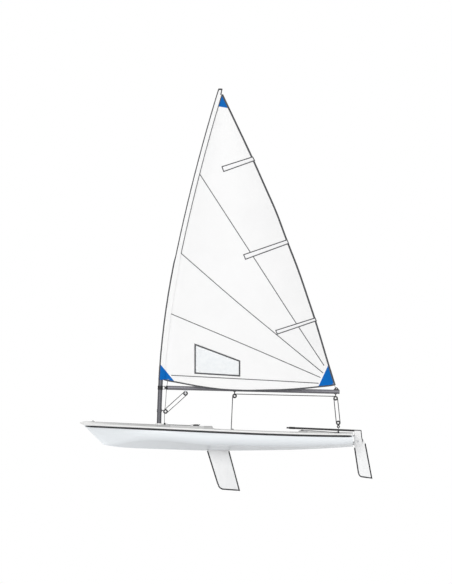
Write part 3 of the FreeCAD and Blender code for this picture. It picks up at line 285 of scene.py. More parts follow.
def cloth(name, base, scale=1.0, patches=False, sheen=0.05, ripple=0.0):
    """Woven cloth.  UV is in metres; the weave is two crossed waves."""
    k = Mat(name)
    uv = k.xyz("UV")
    wu = k.math("SINE", k.math("MULTIPLY", uv[0], 2 * PI / (0.0016 * scale)))
    wv = k.math("SINE", k.math("MULTIPLY", uv[1], 2 * PI / (0.0016 * scale)))
    weave = k.math("MULTIPLY", wu, wv)
    tone = k.noise(1.6, 4, 0.55)
    col = k.mix(k.remap(tone, 0.4, 0.75, 0.0, 1.0), base, tuple(c * 0.972 for c in base))
    col = k.mix(k.remap(weave, -1.0, 1.0, 0.0, 0.05), col, tuple(c * 0.7 for c in base))
    if patches:
        x, y, z = k.xyz()[0:3]

        def side(p, q):
            # signed distance from the line p to q, positive on its left
            dx, dz = q[0] - p[0], q[1] - p[1]
            n = math.hypot(dx, dz)
            a = k.math("MULTIPLY", k.math("SUBTRACT", z, p[1]), dx / n)
            b = k.math("MULTIPLY", k.math("SUBTRACT", x, p[0]), dz / n)
            return k.math("SUBTRACT", a, b)

        total = None
        for tri in BLUE:
            area = sum(tri[i][0] * tri[(i + 1) % len(tri)][1] - tri[(i + 1) % len(tri)][0] * tri[i][1] for i in range(len(tri)))
            t = tri if area > 0 else tri[::-1]
            d = None
            for i in range(len(t)):
                s = side([c * MM for c in t[i]], [c * MM for c in t[(i + 1) % len(t)]])
                d = s if d is None else k.math("MINIMUM", d, s)
            inside = k.remap(d, -0.0015, 0.0015, 0.0, 1.0)
            edge = k.remap(d, 0.006, 0.010, 1.0, 0.0)
            total = (inside, edge) if total is None else (k.math("MAXIMUM", total[0], inside),
                                                          k.math("MAXIMUM", total[1], k.math("MULTIPLY", edge, inside)))
        blue = k.mix(k.remap(tone, 0.4, 0.7, 0.0, 1.0), lin(0, 105, 190), lin(0, 98, 178))
        col = k.mix(total[0], col, blue)
    rough = k.remap(k.noise(55, 3, 0.6), 0.3, 0.7, 0.58, 0.74)
    nrm = k.bump(weave, 0.18, 0.0003)
    if ripple:
        nrm = k.bump(k.noise(5.5, 4, 0.6, (1.0, 1.0, 0.45)), ripple, 0.012, nrm)
    k.p.inputs["Sheen Weight"].default_value = sheen
    k.p.inputs["Specular IOR Level"].default_value = 0.12
    return k.fin(col, rough, nrm)


# coloured corner pieces of the sail, (x, z) in mm
BLUE = [
    [(-900, 1270), (-881, 1261), (-640, 966), (-900, 1002)],
    [(97, 5412), (199, 5190), (22, 5221), (76, 5402)],
    [(1729, 1254), (1840, 924), (1557, 880)],
]
M_SAIL = cloth("sailcloth_white", lin(247, 247, 247), patches=True, ripple=0.25)
M_POCKET = cloth("pocket_white", lin(246, 246, 247), ripple=0.1)


def stitched(name, base, thread):
    """Edge tape: woven, with a row of zigzag stitches near each long edge. UV.x along, UV.y across (0 to 1)."""
    k = Mat(name)
    uv = k.xyz("UV")
    weave = k.math("MULTIPLY", k.math("SINE", k.math("MULTIPLY", uv[0], 2 * PI / 0.0018)),
                   k.math("SINE", k.math("MULTIPLY", uv[1], 2 * PI * 9)))
    zig = k.math("PINGPONG", k.math("MULTIPLY", uv[0], 1 / 0.006), 1.0)
    st = None
    for c in (0.22, 0.78):
        off = k.math("ABSOLUTE", k.math("SUBTRACT", uv[1], k.math("ADD", k.math("MULTIPLY", zig, 0.14), c - 0.07)))
        on = k.remap(off, 0.035, 0.06, 1.0, 0.0)
        st = on if st is None else k.math("MAXIMUM", st, on)
    col = k.mix(k.remap(k.noise(8, 4, 0.6), 0.4, 0.7, 0.0, 1.0), base, tuple(c * 0.85 for c in base))
    col = k.mix(k.math("MULTIPLY", st, 0.8), col, thread)
    nrm = k.bump(st, 0.4, 0.0006, k.bump(weave, 0.2, 0.0003))
    return k.fin(col, k.remap(k.noise(60), 0.3, 0.7, 0.6, 0.78), nrm)


M_TAPE = stitched("edge_tape_grey", lin(68, 69, 72), lin(120, 121, 124))
M_SEAM = stitched("seam_grey", lin(78, 79, 82), lin(120, 121, 124))
M_WEB = stitched("strap_webbing", lin(34, 34, 37), lin(120, 120, 124))


def film():
    k = Mat("window_film_clear")
    k.p.inputs["Alpha"].default_value = 0.42
    k.p.inputs["IOR"].default_value = 1.45
    haze = k.noise(18, 4, 0.65)
    grid = k.voronoi(40, "DISTANCE_TO_EDGE", (1, 1, 1), "UV")
    col = k.mix(k.remap(haze, 0.4, 0.7, 0.0, 1.0), lin(243, 246, 248), lin(232, 237, 241))
    return k.fin(col, k.remap(haze, 0.3, 0.7, 0.06, 0.2), k.bump(k.noise(7, 3, 0.5), 0.15, 0.004, k.bump(grid, 0.03, 0.0003)))


M_FILM = film()


def rope_mat(name, base, fleck, pitch=0.012):
    """Braided rope: UV.x along in metres, UV.y once round."""
    k = Mat(name)
    uv = k.xyz("UV")
    a = k.math("ADD", k.math("MULTIPLY", uv[0], 2 * PI / pitch), k.math("MULTIPLY", uv[1], 2 * PI * 4))
    b = k.math("SUBTRACT", k.math("MULTIPLY", uv[0], 2 * PI / pitch), k.math("MULTIPLY", uv[1], 2 * PI * 4))
    braid = k.math("MULTIPLY", k.math("SINE", a), k.math("SINE", b))
    f = k.remap(k.math("SINE", k.math("MULTIPLY", a, 0.5)), 0.80, 0.9, 0.0, 1.0)
    # painted shade: the braid's grooves (low braid height) are coloured darker, down to 0.6 of the base, and the raised
    # strands keep the full base colour
    col = k.mix(k.remap(braid, -0.2, 0.7, 0.0, 1.0), tuple(c * 0.6 for c in base), base)
    col = k.mix(k.math("MULTIPLY", f, 0.7), col, fleck)
    return k.fin(col, 0.82, k.bump(braid, 0.7, 0.0010), Sheen_Weight=0.06)


M_ROPE = rope_mat("rope_dark", lin(27, 27, 30), lin(92, 94, 100))
M_ROPE2 = rope_mat("rope_control", lin(26, 26, 29), lin(84, 88, 98), 0.009)

# ------------------------------------------------------------------ materials on the CAD nodes
SLOT_MAT = {
    "hull_gelcoat": M_HULL, "deck_gelcoat": M_DECK, "foil_white": M_FOIL, "anodised_spar": M_SPAR, "stainless": M_STEEL,
    "black_plastic": M_BLACK, "black_rubber": M_GRIP, "tiller_black": M_TILLER, "sailcloth": M_SAIL, "window_film": M_FILM,
    "batten_glass": M_POCKET, "webbing": M_WEB,
}
slot_of = {s["node"]: s["material_slot"] for s in frame["record"]["subparts"]}
for name, ob in N.items():
    mat = {"boom": M_BOOM, "rudder_head": M_HEAD, "mast_vang_tang": M_SPAR}.get(name) or SLOT_MAT[slot_of[name]]
    ob.data.materials.clear()
    ob.data.materials.append(mat)


# ------------------------------------------------------------------ mesh helpers
def obj(name, verts, faces, mats, uvs=None, smooth=True, fmat=None):
    me = bpy.data.meshes.new(name)
    me.from_pydata(verts, [], faces)
    for m in (mats if isinstance(mats, (list, tuple)) else [mats]):
        me.materials.append(m)
    if fmat:
        me.polygons.foreach_set("material_index", fmat)
    if uvs is not None:
        lay = me.uv_layers.new(name="UVMap")
        for loop in me.loops:
            lay.data[loop.index].uv = uvs[loop.vertex_index]
    if smooth:
        me.polygons.foreach_set("use_smooth", [True] * len(me.polygons))
    me.update()
    ob = bpy.data.objects.new(name, me)
    bpy.context.scene.collection.objects.link(ob)
    return ob


def catmull(pts, step):
    """Points of a smooth curve through pts (2-D or 3-D), about step apart."""
    out = []
    P = [Vector(p) for p in pts]
    for i in range(len(P) - 1):
        p0 = P[i - 1] if i else P[0] * 2 - P[1]
        p1, p2 = P[i], P[i + 1]
        p3 = P[i + 2] if i + 2 < len(P) else P[-1] * 2 - P[-2]
        d1, d2, d3 = [max((b - a).length, 1e-9) ** 0.5 for a, b in ((p0, p1), (p1, p2), (p2, p3))]
        n = max(1, int(math.ceil((p2 - p1).length / step)))
        t0, t1 = 0.0, d1
        t2, t3 = d1 + d2, d1 + d2 + d3
        for j in range(n):
            t = t1 + (t2 - t1) * j / n
            a1 = (t1 - t) / (t1 - t0) * p0 + (t - t0) / (t1 - t0) * p1
            a2 = (t2 - t) / (t2 - t1) * p1 + (t - t1) / (t2 - t1) * p2
            a3 = (t3 - t) / (t3 - t2) * p2 + (t - t2) / (t3 - t2) * p3
            b1 = (t2 - t) / (t2 - t0) * a1 + (t - t0) / (t2 - t0) * a2
            b2 = (t3 - t) / (t3 - t1) * a2 + (t - t1) / (t3 - t1) * a3
            out.append((t2 - t) / (t2 - t1) * b1 + (t - t1) / (t2 - t1) * b2)
    out.append(P[-1])
    return out


def straight(pts, step):
    out = []
    P = [Vector(p) for p in pts]
    for a, b in zip(P, P[1:]):
        n = max(1, int(math.ceil((b - a).length / step)))
        out += [a + (b - a) * (j / n) for j in range(n)]
    out.append(P[-1])
    return out


def tube(name, pts, r, mat, sides=10, cap=True):
    """Round tube along a dense list of 3-D points, with UVs along and round; r is one radius or one for each point."""
    P = [Vector(p) for p in pts]
    rr = list(r) if isinstance(r, (list, tuple)) else [r] * len(P)
    T = []
    for i in range(len(P)):
        a, b = P[max(0, i - 1)], P[min(len(P) - 1, i + 1)]
        T.append((b - a).normalized())
    nrm = T[0].orthogonal().normalized()
    verts, uvs, s = [], [], 0.0
    for i, p in enumerate(P):
        if i:
            s += (p - P[i - 1]).length
            nrm = (nrm - T[i] * nrm.dot(T[i])).normalized()
        bi = T[i].cross(nrm)
        for j in range(sides + 1):
            a = 2 * PI * j / sides
            verts.append(p + (nrm * math.cos(a) + bi * math.sin(a)) * rr[i])
            uvs.append((s, j / sides))
    faces = []
    w = sides + 1
    for i in range(len(P) - 1):
        for j in range(sides):
            faces.append((i * w + j, (i * w + j + 1), (i + 1) * w + j + 1, (i + 1) * w + j))
    if cap:
        for base, end, d in ((0, 0, -1), ((len(P) - 1) * w, len(P) - 1, 1)):
            c = len(verts)
            verts.append(P[end] + T[end] * d * rr[end] * 0.5)
            uvs.append((s * (d > 0), 0.5))
            for j in range(sides):
                f = (base + j, base + j + 1, c)
                faces.append(f if d > 0 else f[::-1])
    return obj(name, verts, faces, mat, uvs)


def lathe(name, centre, axis, profile, mat, sides=32):
    """Round piece: profile is (radius, height along axis) pairs from the middle of one end to the other."""
    ax = Vector(axis).normalized()
    e1 = ax.orthogonal().normalized()
    e2 = ax.cross(e1)
    c = Vector(centre)
    verts, faces, uvs = [], [], []
    for r, h in profile:
        for j in range(sides):
            a = 2 * PI * j / sides
            verts.append(c + ax * h + (e1 * math.cos(a) + e2 * math.sin(a)) * max(r, 1e-5))
            uvs.append((r, j / sides))
    for i in range(len(profile) - 1):
        for j in range(sides):
            k = (j + 1) % sides
            faces.append((i * sides + j, i * sides + k, (i + 1) * sides + k, (i + 1) * sides + j))
    return obj(name, verts, faces, mat, uvs)


def knot(name, p, axis, r, mat):
    """Stopper knot: a trefoil wound small and tight."""
    ax = Vector(axis).normalized()
    e1 = ax.orthogonal().normalized()
    e2 = ax.cross(e1)
    pts = []
    for i in range(73):
        t = 2 * PI * i / 72
        pts.append(Vector(p) + e1 * (math.sin(t) + 2 * math.sin(2 * t)) * r * 0.62 + e2 * (math.cos(t) - 2 * math.cos(2 * t)) * r * 0.62
                   - ax * math.sin(3 * t) * r * 0.9)
    return tube(name, pts, r, mat, 8, False)


# ------------------------------------------------------------------ sail surface
ROWS = [(790.0, -868.0, 1900.0, 205.0, 0.0), (1600.0, -822.0, 1640.0, 225.0, 25.0), (2600.0, -671.0, 1310.0, 200.0, 70.0),
        (3600.0, -456.0, 930.0, 150.0, 95.0), (4600.0, -197.0, 500.0, 85.0, 80.0), (5520.0, 60.0, 110.0, 20.0, 12.0)]


def spline_rows():
    """Natural cubic through the rows, one for each column."""
    z = [r[0] for r in ROWS]
    n = len(z)
    cols = []
    for c in range(1, 5):
        y = [r[c] for r in ROWS]
        h = [z[i + 1] - z[i] for i in range(n - 1)]
        A = [[0.0] * n for _ in range(n)]
        b = [0.0] * n
        A[0][0] = A[-1][-1] = 1.0
        for i in range(1, n - 1):
            A[i][i - 1], A[i][i], A[i][i + 1] = h[i - 1], 2 * (h[i - 1] + h[i]), h[i]
            b[i] = 6 * ((y[i + 1] - y[i]) / h[i] - (y[i] - y[i - 1]) / h[i - 1])
        for i in range(1, n):
            f = A[i][i - 1] / A[i - 1][i - 1]
            A[i][i] -= f * A[i - 1][i]
            b[i] -= f * b[i - 1]
        m = [0.0] * n
        m[-1] = b[-1] / A[-1][-1]
        for i in range(n - 2, -1, -1):
            m[i] = (b[i] - A[i][i + 1] * m[i + 1]) / A[i][i]
        cols.append((y, m, h))
    return z, cols


SZ, SCOLS = spline_rows()


def row_at(z):
    i = max(0, min(len(SZ) - 2, sum(1 for s in SZ if s <= z) - 1))
    out = []
    for y, m, h in SCOLS:
        a, b = SZ[i + 1] - z, z - SZ[i]
        out.append((m[i] * a ** 3 + m[i + 1] * b ** 3) / (6 * h[i]) + (y[i] / h[i] - m[i] * h[i] / 6) * a + (y[i + 1] / h[i] - m[i + 1] * h[i] / 6) * b)
    return out


def sail_y(x, z):
    """Sideways place of the sail in mm, at (x, z) in mm: one arc in each level, and soft creases from the corners."""
    x0, x1, d, tw = row_at(z)
    p, q, r = (x0, 0.0), (x0 + 0.46 * (x1 - x0), -d - tw / 2), (x1, -tw)
    D = 2 * (p[0] * (q[1] - r[1]) + q[0] * (r[1] - p[1]) + r[0] * (p[1] - q[1]))
    s = [a[0] ** 2 + a[1] ** 2 for a in (p, q, r)]
    ux = (s[0] * (q[1] - r[1]) + s[1] * (r[1] - p[1]) + s[2] * (p[1] - q[1])) / D
    uy = (s[0] * (r[0] - q[0]) + s[1] * (p[0] - r[0]) + s[2] * (q[0] - p[0])) / D
    R = math.hypot(p[0] - ux, p[1] - uy)
    y = uy - math.sqrt(max(R * R - (x - ux) ** 2, 0.0))
    # creases: fans that fade away from the clew and the tack, and a slack foot
    for cx, cz, amp, n, ph, reach in ((1835, 924, 3.4, 17, 0.4, 620), (-885, 1010, 3.0, 13, 1.1, 480)):
        dx, dz = x - cx, z - cz
        dist = math.hypot(dx, dz)
        g = math.exp(-((dist - 330) / reach) ** 2) * min(1.0, dist / 430) ** 2
        y += amp * g * math.sin(n * math.atan2(dz, dx) + ph)
    y += 2.2 * math.sin(z / 118.0 + 0.9) * math.exp(-((x - (x0 + 150)) / 130) ** 2) * min(1.0, max(0.0, (x - x0 - 60) / 60))
    return y


def sail_pt(x, z, off=0.0):
    """Point in metres on the sail, moved off mm along its normal."""
    y = sail_y(x, z)
    gx = (sail_y(x + 4, z) - sail_y(x - 4, z)) / 8
    gz = (sail_y(x, z + 4) - sail_y(x, z - 4)) / 8
    n = Vector((-gx, 1.0, -gz)).normalized()
    return (Vector((x, y, z)) + n * off) * MM


def inside(p, poly):
    c = False
    for i in range(len(poly)):
        a, b = poly[i], poly[i - 1]
        if (a[1] > p[1]) != (b[1] > p[1]) and p[0] < (b[0] - a[0]) * (p[1] - a[1]) / (b[1] - a[1]) + a[0]:
            c = not c
    return c


def panel(name, outline, step, h, mat, holes=(), uv_dir=(1.0, 0.0)):
    """Thin slab over the sail's surface inside an outline of (x, z) mm points."""
    pts, edges = [], []
    for ring in [outline, *holes]:
        base = len(pts)
        pts += [Vector((p[0], p[1])) for p in ring]
        edges += [(base + i, base + (i + 1) % len(ring)) for i in range(len(ring))]
    xs, zs = [p[0] for p in outline], [p[1] for p in outline]
    segs = [(r[i], r[(i + 1) % len(r)]) for r in [outline, *holes] for i in range(len(r))]
    z, k = min(zs) + step * 0.5, 0
    while z < max(zs):
        x = min(xs) + step * (0.5 if k % 2 else 1.0)
        near = [s for s in segs if min(s[0][1], s[1][1]) - step < z < max(s[0][1], s[1][1]) + step]
        while x < max(xs):
            if inside((x, z), outline) and not any(inside((x, z), hh) for hh in holes):
                ok = True
                for a, b in near:
                    ax, az, bx, bz = a[0], a[1], b[0], b[1]
                    L = (bx - ax) ** 2 + (bz - az) ** 2
                    t = max(0.0, min(1.0, ((x - ax) * (bx - ax) + (z - az) * (bz - az)) / L)) if L else 0.0
                    if math.hypot(x - ax - t * (bx - ax), z - az - t * (bz - az)) < step * 0.45:
                        ok = False
                        break
                if ok:
                    pts.append(Vector((x, z)))
            x += step
        z += step * 0.87
        k += 1
    v, e, f = delaunay_2d_cdt(pts, edges, [], 0, 1e-4)[:3]
    tris = []
    for t in f:
        c = [sum(v[i][j] for i in t) / len(t) for j in (0, 1)]
        if inside(c, outline) and not any(inside(c, hh) for hh in holes):
            # same turn for all
            a = (v[t[1]] - v[t[0]]).cross(v[t[2]] - v[t[0]]) if len(v[t[0]]) == 2 else 0
            tris.append(tuple(t) if a > 0 else tuple(reversed(t)))
    return slab(name, [(p[0], p[1]) for p in v], tris, h, mat, [(p[0] * MM * uv_dir[0] + p[1] * MM * uv_dir[1],
                                                                  p[1] * MM * uv_dir[0] - p[0] * MM * uv_dir[1]) for p in v])


def slab(name, flat, tris, h, mat, uv):
    n = len(flat)
    up = [sail_pt(x, z, h) for x, z in flat]
    dn = [sail_pt(x, z, -h) for x, z in flat]
    used, count = set(), {}
    for t in tris:
        used |= set(t)
        for i in range(len(t)):
            a, b = t[i], t[(i + 1) % len(t)]
            count[(a, b)] = 1
    faces = [tuple(reversed(t)) for t in tris] + [tuple(i + n for i in t) for t in tris]
    for a, b in count:
        if (b, a) not in count:
            faces.append((a, b, b + n, a + n))
    keep = sorted(used) + [i + n for i in sorted(used)]
    idx = {k: i for i, k in enumerate(keep)}
    allv = up + dn
    return obj(name, [allv[k] for k in keep], [tuple(idx[i] for i in f) for f in faces], mat, [uv[k % n] for k in keep])


def ribbon(name, line, width, h, mat, closed=False, across=2, side=0.0):
    """Tape along a line of (x, z) mm points; side -1..1 moves it to the left or right of the line by half its width."""
    P = [Vector(p[:2]) for p in line]
    m = len(P)
    flat, uv, s = [], [], 0.0
    for i in range(m):
        if closed:
            a, b = P[i - 1], P[(i + 1) % m]
        else:
            a, b = P[max(0, i - 1)], P[min(m - 1, i + 1)]
        d1 = (P[i] - (P[i - 1] if (i or closed) else P[i] * 2 - P[i + 1]))
        d2 = ((P[(i + 1) % m] if (i < m - 1 or closed) else P[i] * 2 - P[i - 1]) - P[i])
        d1, d2 = d1.normalized(), d2.normalized()
        t = (d1 + d2).normalized()
        nn = Vector((-t.y, t.x))
        mit = 1.0 / max(0.35, nn.dot(Vector((-d1.y, d1.x))))
        if i:
            s += (P[i] - P[i - 1]).length * MM
        for j in range(across + 1):
            o = (j / across - 0.5 + side * 0.5) * width * mit
            flat.append((P[i].x + nn.x * o, P[i].y + nn.y * o))
            uv.append((s, j / across))
    w = across + 1
    faces = []
    for i in range(m if closed else m - 1):
        i2 = (i + 1) % m
        for j in range(across):
            faces.append((i * w + j + 1, i * w + j, i2 * w + j, i2 * w + j + 1))
    return slab(name, flat, faces, h, mat, uv)


LEECH = [(97, 5412), (194, 5206), (551, 4449), (768, 3963), (930, 3594), (1092, 3161), (1243, 2773), (1325, 2544),
         (1428, 2236), (1520, 1961), (1733, 1254), (1835, 924)]
FOOT = [(1835, 924), (1772, 908), (1551, 884), (1300, 860), (985, 840), (822, 837), (436, 830), (76, 848), (-239, 888),
        (-506, 936), (-640, 961), (-764, 983), (-819, 1000)]


# mast line: three arcs
def mast_line():
    th = math.radians(1.2)
    x, z = -890.0, 325.0
    out = []
    for r, z1 in ((19100.0, 1002.0), (12730.0, 2850.0), (28650.0, 5478.0)):
        th1 = math.asin(math.sin(th) + (z1 - z) / r)
        out.append((x, z, th, r, z1))
        x += r * (math.cos(th) - math.cos(th1))
        z, th = z1, th1
    out.append((x, z, th))
    return out


MAST = mast_line()


def mast_x(z):
    for x, z0, th, r, z1 in MAST[:3]:
        if z <= z1:
            t = math.asin(math.sin(th) + (z - z0) / r)
            return x + r * (math.cos(th) - math.cos(t)), t
    x, z0, th = MAST[3]
    return x + (z - z0) * math.tan(th), th


def mast_r(z):
    k = max(0.0, min(1.0, (z - 2800.0) / 130.0))
    return 35.0 + (27.0 - 35.0) * (k * k * (3 - 2 * k))


def seam_x(z):
    """Where the sleeve's two sides meet the sail."""
    x, th = mast_x(z)
    r = mast_r(z)
    x += (r + 21.0 + 3.0 * (z < 2800)) / math.cos(th)
    if z > 5300:
        x = min(x, x + 0.0)
    return x


luff = [(seam_x(z), z) for z in [1002 + i * (5400 - 1002) / 110 for i in range(111)]]
leech = [tuple(p) for p in catmull(LEECH, 30)]
foot = [tuple(p) for p in catmull(FOOT, 30)]
WINDOW = [(-333, 1550), (352, 1294), (352, 1066), (-333, 1109)]
win = [tuple(p) for p in straight(WINDOW + WINDOW[:1], 40)][:-1]
outline = luff + leech[:-1] + foot
sail = panel("sail_cloth", outline, 31.0, 0.7, M_SAIL, [win])
window = panel("sail_window_film", win, 40.0, 0.45, M_FILM)


# sleeve round the mast: one closed ring of cloth at each level, tape down its front
def sleeve():
    zs = [1003 + i * (5488 - 1003) / 150 for i in range(151)]
    zs = sorted(zs + [5472.0]) + [5493.0, 5496.5, 5497.5]
    NA, NS = 26, 5
    verts, uvs = [], []
    TAPE = 1.14
    angs = []
    for i, z in enumerate(zs):
        zz = min(z, 5488)
        xc, th = mast_x(zz)
        R = (mast_r(zz) + 2.6) / math.cos(th)
        sx = seam_x(min(zz, 5400))
        if zz > 5400:
            sx = xc + (mast_r(zz) + 18.0) / math.cos(th) - (zz - 5400) * 0.10
        shrink = {5493.0: 0.93, 5496.5: 0.75, 5497.5: 0.40}.get(z, 1.0)
        sy = sail_y(sx, min(zz, 5405))
        S = Vector((sx - xc, sy))
        D = S.length
        base = math.atan2(S.y, S.x)
        al = math.acos(min(0.999, R / D))
        a0, a1 = base + al, base - al + 2 * PI
        # arc angles, with two fixed ones at the tape's edges
        arc = [a0 + (PI - TAPE - a0) * j / 9 for j in range(9)] + [PI - TAPE + 2 * TAPE * j / 8 for j in range(8)] + [PI + TAPE + (a1 - PI - TAPE) * j / 9 for j in range(10)]
        T0 = Vector((math.cos(arc[0]), math.sin(arc[0]))) * R
        T1 = Vector((math.cos(arc[-1]), math.sin(arc[-1]))) * R
        ring = [S + (T0 - S) * (j / NS) for j in range(NS)]
        ring += [Vector((math.cos(a), math.sin(a))) * R for a in arc]
        ring += [T1 + (S - T1) * (j / NS) for j in range(1, NS + 1)]
        s = 0.0
        for j, p in enumerate(ring):
            if j:
                s += (p - ring[j - 1]).length * MM
            wr = 0.9 * math.sin(z / 37.0 + 2.1 * j / 5) * (1 if 2 < j < len(ring) - 3 else 0)
            q = p * shrink * (1 + wr / 60.0)
            verts.append(((xc + q.x) * MM, q.y * MM, z * MM))
            uvs.append((z * MM, s))
    w = len(ring)
    faces, fm = [], []
    for i in range(len(zs) - 1):
        for j in range(w - 1):
            faces.append((i * w + j, i * w + j + 1, (i + 1) * w + j + 1, (i + 1) * w + j))
            head = zs[i] > 5465 or (zs[i] > 5395 and (j < 2 or j >= w - 3))
            fm.append(1 if head or NS + 9 <= j < NS + 17 else 0)
    # inner layer so that the open lower end shows a thickness
    n = len(verts)
    k = 10
    for i in range(k):
        z = zs[i]
        xc, th = mast_x(z)
        for j in range(w):
            v = Vector(verts[i * w + j])
            c = Vector((xc * MM, 0, v.z))
            d = v - c
            verts.append(tuple(c + d * (1 - 0.0011 / max(d.length, 0.02))))
            uvs.append(uvs[i * w + j])
    for i in range(k - 1):
        for j in range(w - 1):
            faces.append((n + i * w + j + 1, n + i * w + j, n + (i + 1) * w + j, n + (i + 1) * w + j + 1))
            fm.append(0)
    for j in range(w - 1):
        faces.append((j + 1, j, n + j, n + j + 1))
        fm.append(2)
    # the head closes over the mast's plug
    top, last = len(verts), (len(zs) - 1) * w
    verts.append(tuple(sum((Vector(verts[last + j]) for j in range(w)), Vector()) / w + Vector((0, 0, 0.0003))))
    uvs.append(uvs[last])
    for j in range(w - 1):
        faces.append((last + j, last + j + 1, top))
        fm.append(1)
    o = obj("sail_sleeve", verts, faces, [M_SAIL, M_TAPE, M_TAPE], uvs, True, fm)
    # the front tape's own width, so that its two rows of stitches run down its edges
    lay = o.data.uv_layers["UVMap"]
    for f in o.data.polygons:
        if f.material_index == 1 and all(v < n and NS + 9 <= v % w <= NS + 17 for v in f.vertices):
            for li in f.loop_indices:
                v = o.data.loops[li].vertex_index
                lay.data[li].uv = (uvs[v][0], (v % w - NS - 9) / 8)
        elif f.material_index == 1:
            # the head's own patch has no stitches
            for li in f.loop_indices:
                lay.data[li].uv = (uvs[o.data.loops[li].vertex_index][0], 0.5)
    return o


slv = sleeve()
sail_bits = [sail, window, slv]
sail_bits.append(ribbon("leech_tape", [(p[0], p[1]) for p in leech], 27.0, 2.0, M_TAPE, side=-1))
sail_bits.append(ribbon("foot_tape", [(p[0], p[1]) for p in foot], 22.0, 2.0, M_TAPE, side=-1))
sail_bits.append(ribbon("window_frame", win, 22.0, 2.2, M_TAPE, closed=True))
SEAMS = {
    "seam_a": [(-312, 4255), (668, 2740), (1221, 1883), (1655, 1225)],
    "seam_b": [(-560, 2965), (278, 2236), (922, 1702), (1640, 1110)],
    "seam_c": [(-705, 2023), (513, 1510), (1600, 1040)],
    "seam_d": [(-700, 1075), (822, 995), (1570, 952)],
}
for nm, pts in SEAMS.items():
    sail_bits.append(ribbon(nm, [tuple(p) for p in catmull(pts, 24)], 13.0, 1.7, M_SEAM))
sleeve_seam = [(seam_x(z) + 3, z) for z in [2950 + i * 35 for i in range(70)] + [5394]]
sail_bits.append(ribbon("sleeve_seam", sleeve_seam, 13.0, 1.8, M_SEAM))

POCKETS = [
    [(82, 4291), (553, 4441), (583, 4386), (108, 4217)],
    [(416, 2934), (1084, 3163), (1106, 3107), (443, 2864)],
    [(910, 1766), (1516, 1958), (1534, 1915), (934, 1710)],
]
for i, q in enumerate(POCKETS):
    ring = [tuple(p) for p in straight(q + q[:1], 30)][:-1]
    sail_bits.append(panel("batten_pocket_%d" % (i + 1), ring, 22.0, 2.6, M_POCKET))
    sail_bits.append(ribbon("batten_pocket_edge_%d" % (i + 1), ring, 15.0, 3.1, M_TAPE, closed=True))


def grommet(name, x, z, r=9.0):
    """Pressed ring through the cloth."""
    p = sail_pt(x, z)
    n = (sail_pt(x, z, 5) - p).normalized()
    prof = []
    for i in range(17):
        a = 2 * PI * i / 16
        prof.append(((r + 3.4 * math.cos(a)) * MM, 3.0 * math.sin(a) * MM))
    return lathe(name, p, n, prof, M_STEEL, 28)


sail_bits += [grommet("tack_grommet", -752, 1006), grommet("clew_grommet", 1800, 943)]
for o in sail_bits:
    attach(o, "rig")
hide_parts("sail")
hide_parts("sail_window")
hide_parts("sail_battens")
for o in sail_bits:
    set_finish(o, "window_film" if o is window else "stainless" if "grommet" in o.name else "sailcloth")

# ------------------------------------------------------------------ hiking strap
XS0, XS1 = 305.0, 1206.0


def strap():
    verts, faces, uvs = [], [], []
    nx, ny = 60, 8
    for i in range(nx + 1):
        x = XS0 + (XS1 - XS0) * i / nx
        t = i / nx
        z = 152.5 + (160.5 - 152.5) * t - 11.0 * math.sin(PI * t)
        for lay in (1, -1):
            for j in range(ny + 1):
                u = j / ny * 2 - 1
                e = 1 - 0.55 * abs(u) ** 6
                verts.append((x * MM, u * 25.5 * MM, (z + lay * 1.9 * e + 0.5 * math.sin(x / 23.0) * (1 - u * u)) * MM))
                uvs.append((x * MM, j / ny))
    w = ny + 1
    for i in range(nx):
        for j in range(ny):
            a, b = i * 2 * w + j, (i + 1) * 2 * w + j
            faces.append((a, b, b + 1, a + 1))
            faces.append((a + w + 1, b + w + 1, b + w, a + w))
        for j, s in ((0, 1), (ny, -1)):
            a, b = i * 2 * w + j, (i + 1) * 2 * w + j
            f = (a, a + w, b + w, b)
            faces.append(f if s > 0 else f[::-1])
    for i in (0, nx):
        for j in range(ny):
            a = i * 2 * w + j
            f = (a, a + 1, a + 1 + w, a + w)
            faces.append(f if i == 0 else f[::-1])
    return obj("hiking_strap_web", verts, faces, M_WEB, uvs)


st = strap()
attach(st, "hull")
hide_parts("hiking_strap")
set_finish(st, "webbing")

# ------------------------------------------------------------------ ropes
def arc(cx, cz, r, a0, a1, y, n=14):
    """Points of an arc in the XZ plane, degrees counter-clockwise from +X (as seen from port, Z up)."""
    return [Vector((cx + r * math.cos(math.radians(a0 + (a1 - a0) * i / n)), y, cz + r * math.sin(math.radians(a0 + (a1 - a0) * i / n)))) for i in range(n + 1)]


def mm(pts):
    return [Vector(p) * MM for p in pts]


def dense(pts, step=18.0):
    return mm(straight(pts, step))


def rope(name, pts, r, body=None, mat=None, blend=None):
    o = tube(name, pts, r * MM, mat or M_ROPE)
    if blend:
        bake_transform(o)
    else:
        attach(o, body)
    return o


# vang: two belts side by side round the upper and the lower block
UP, LOW = (-481.0, 796.0), (-790.0, 517.0)
va = math.degrees(math.atan2(UP[1] - LOW[1], UP[0] - LOW[0]))
for i, y in enumerate((-5.6, 5.6)):
    loop = arc(UP[0], UP[1], 30.0, va - 90, va + 90, y) + arc(LOW[0], LOW[1], 30.0, va + 90, va + 270, y)
    loop = loop + [loop[0]]
    rope("vang_line_%d" % (i + 1), dense(loop), 5.4, "rig", M_ROPE2)

# downhaul of the sail's tack: from its ring past the boom's end to the mast, and on to the deck
tk = sail_pt(-752, 1006, -5) / MM
down = catmull([tuple(tk), (-764, -44, 940), (-774, -46, 868), (-780, -42, 780), (-792, -20, 610), (-800, -17, 556)], 14)
rope("downhaul_upper", mm(down), 4.0, "rig", M_ROPE2)

CAD_BVH = {}


def ray(node, p, d):
    if node not in CAD_BVH:
        me = N[node].data
        CAD_BVH[node] = BVHTree.FromPolygons([v.co.copy() for v in me.vertices], [tuple(f.vertices) for f in me.polygons])
    hit = CAD_BVH[node].ray_cast(Vector(p), Vector(d))
    return hit[0]


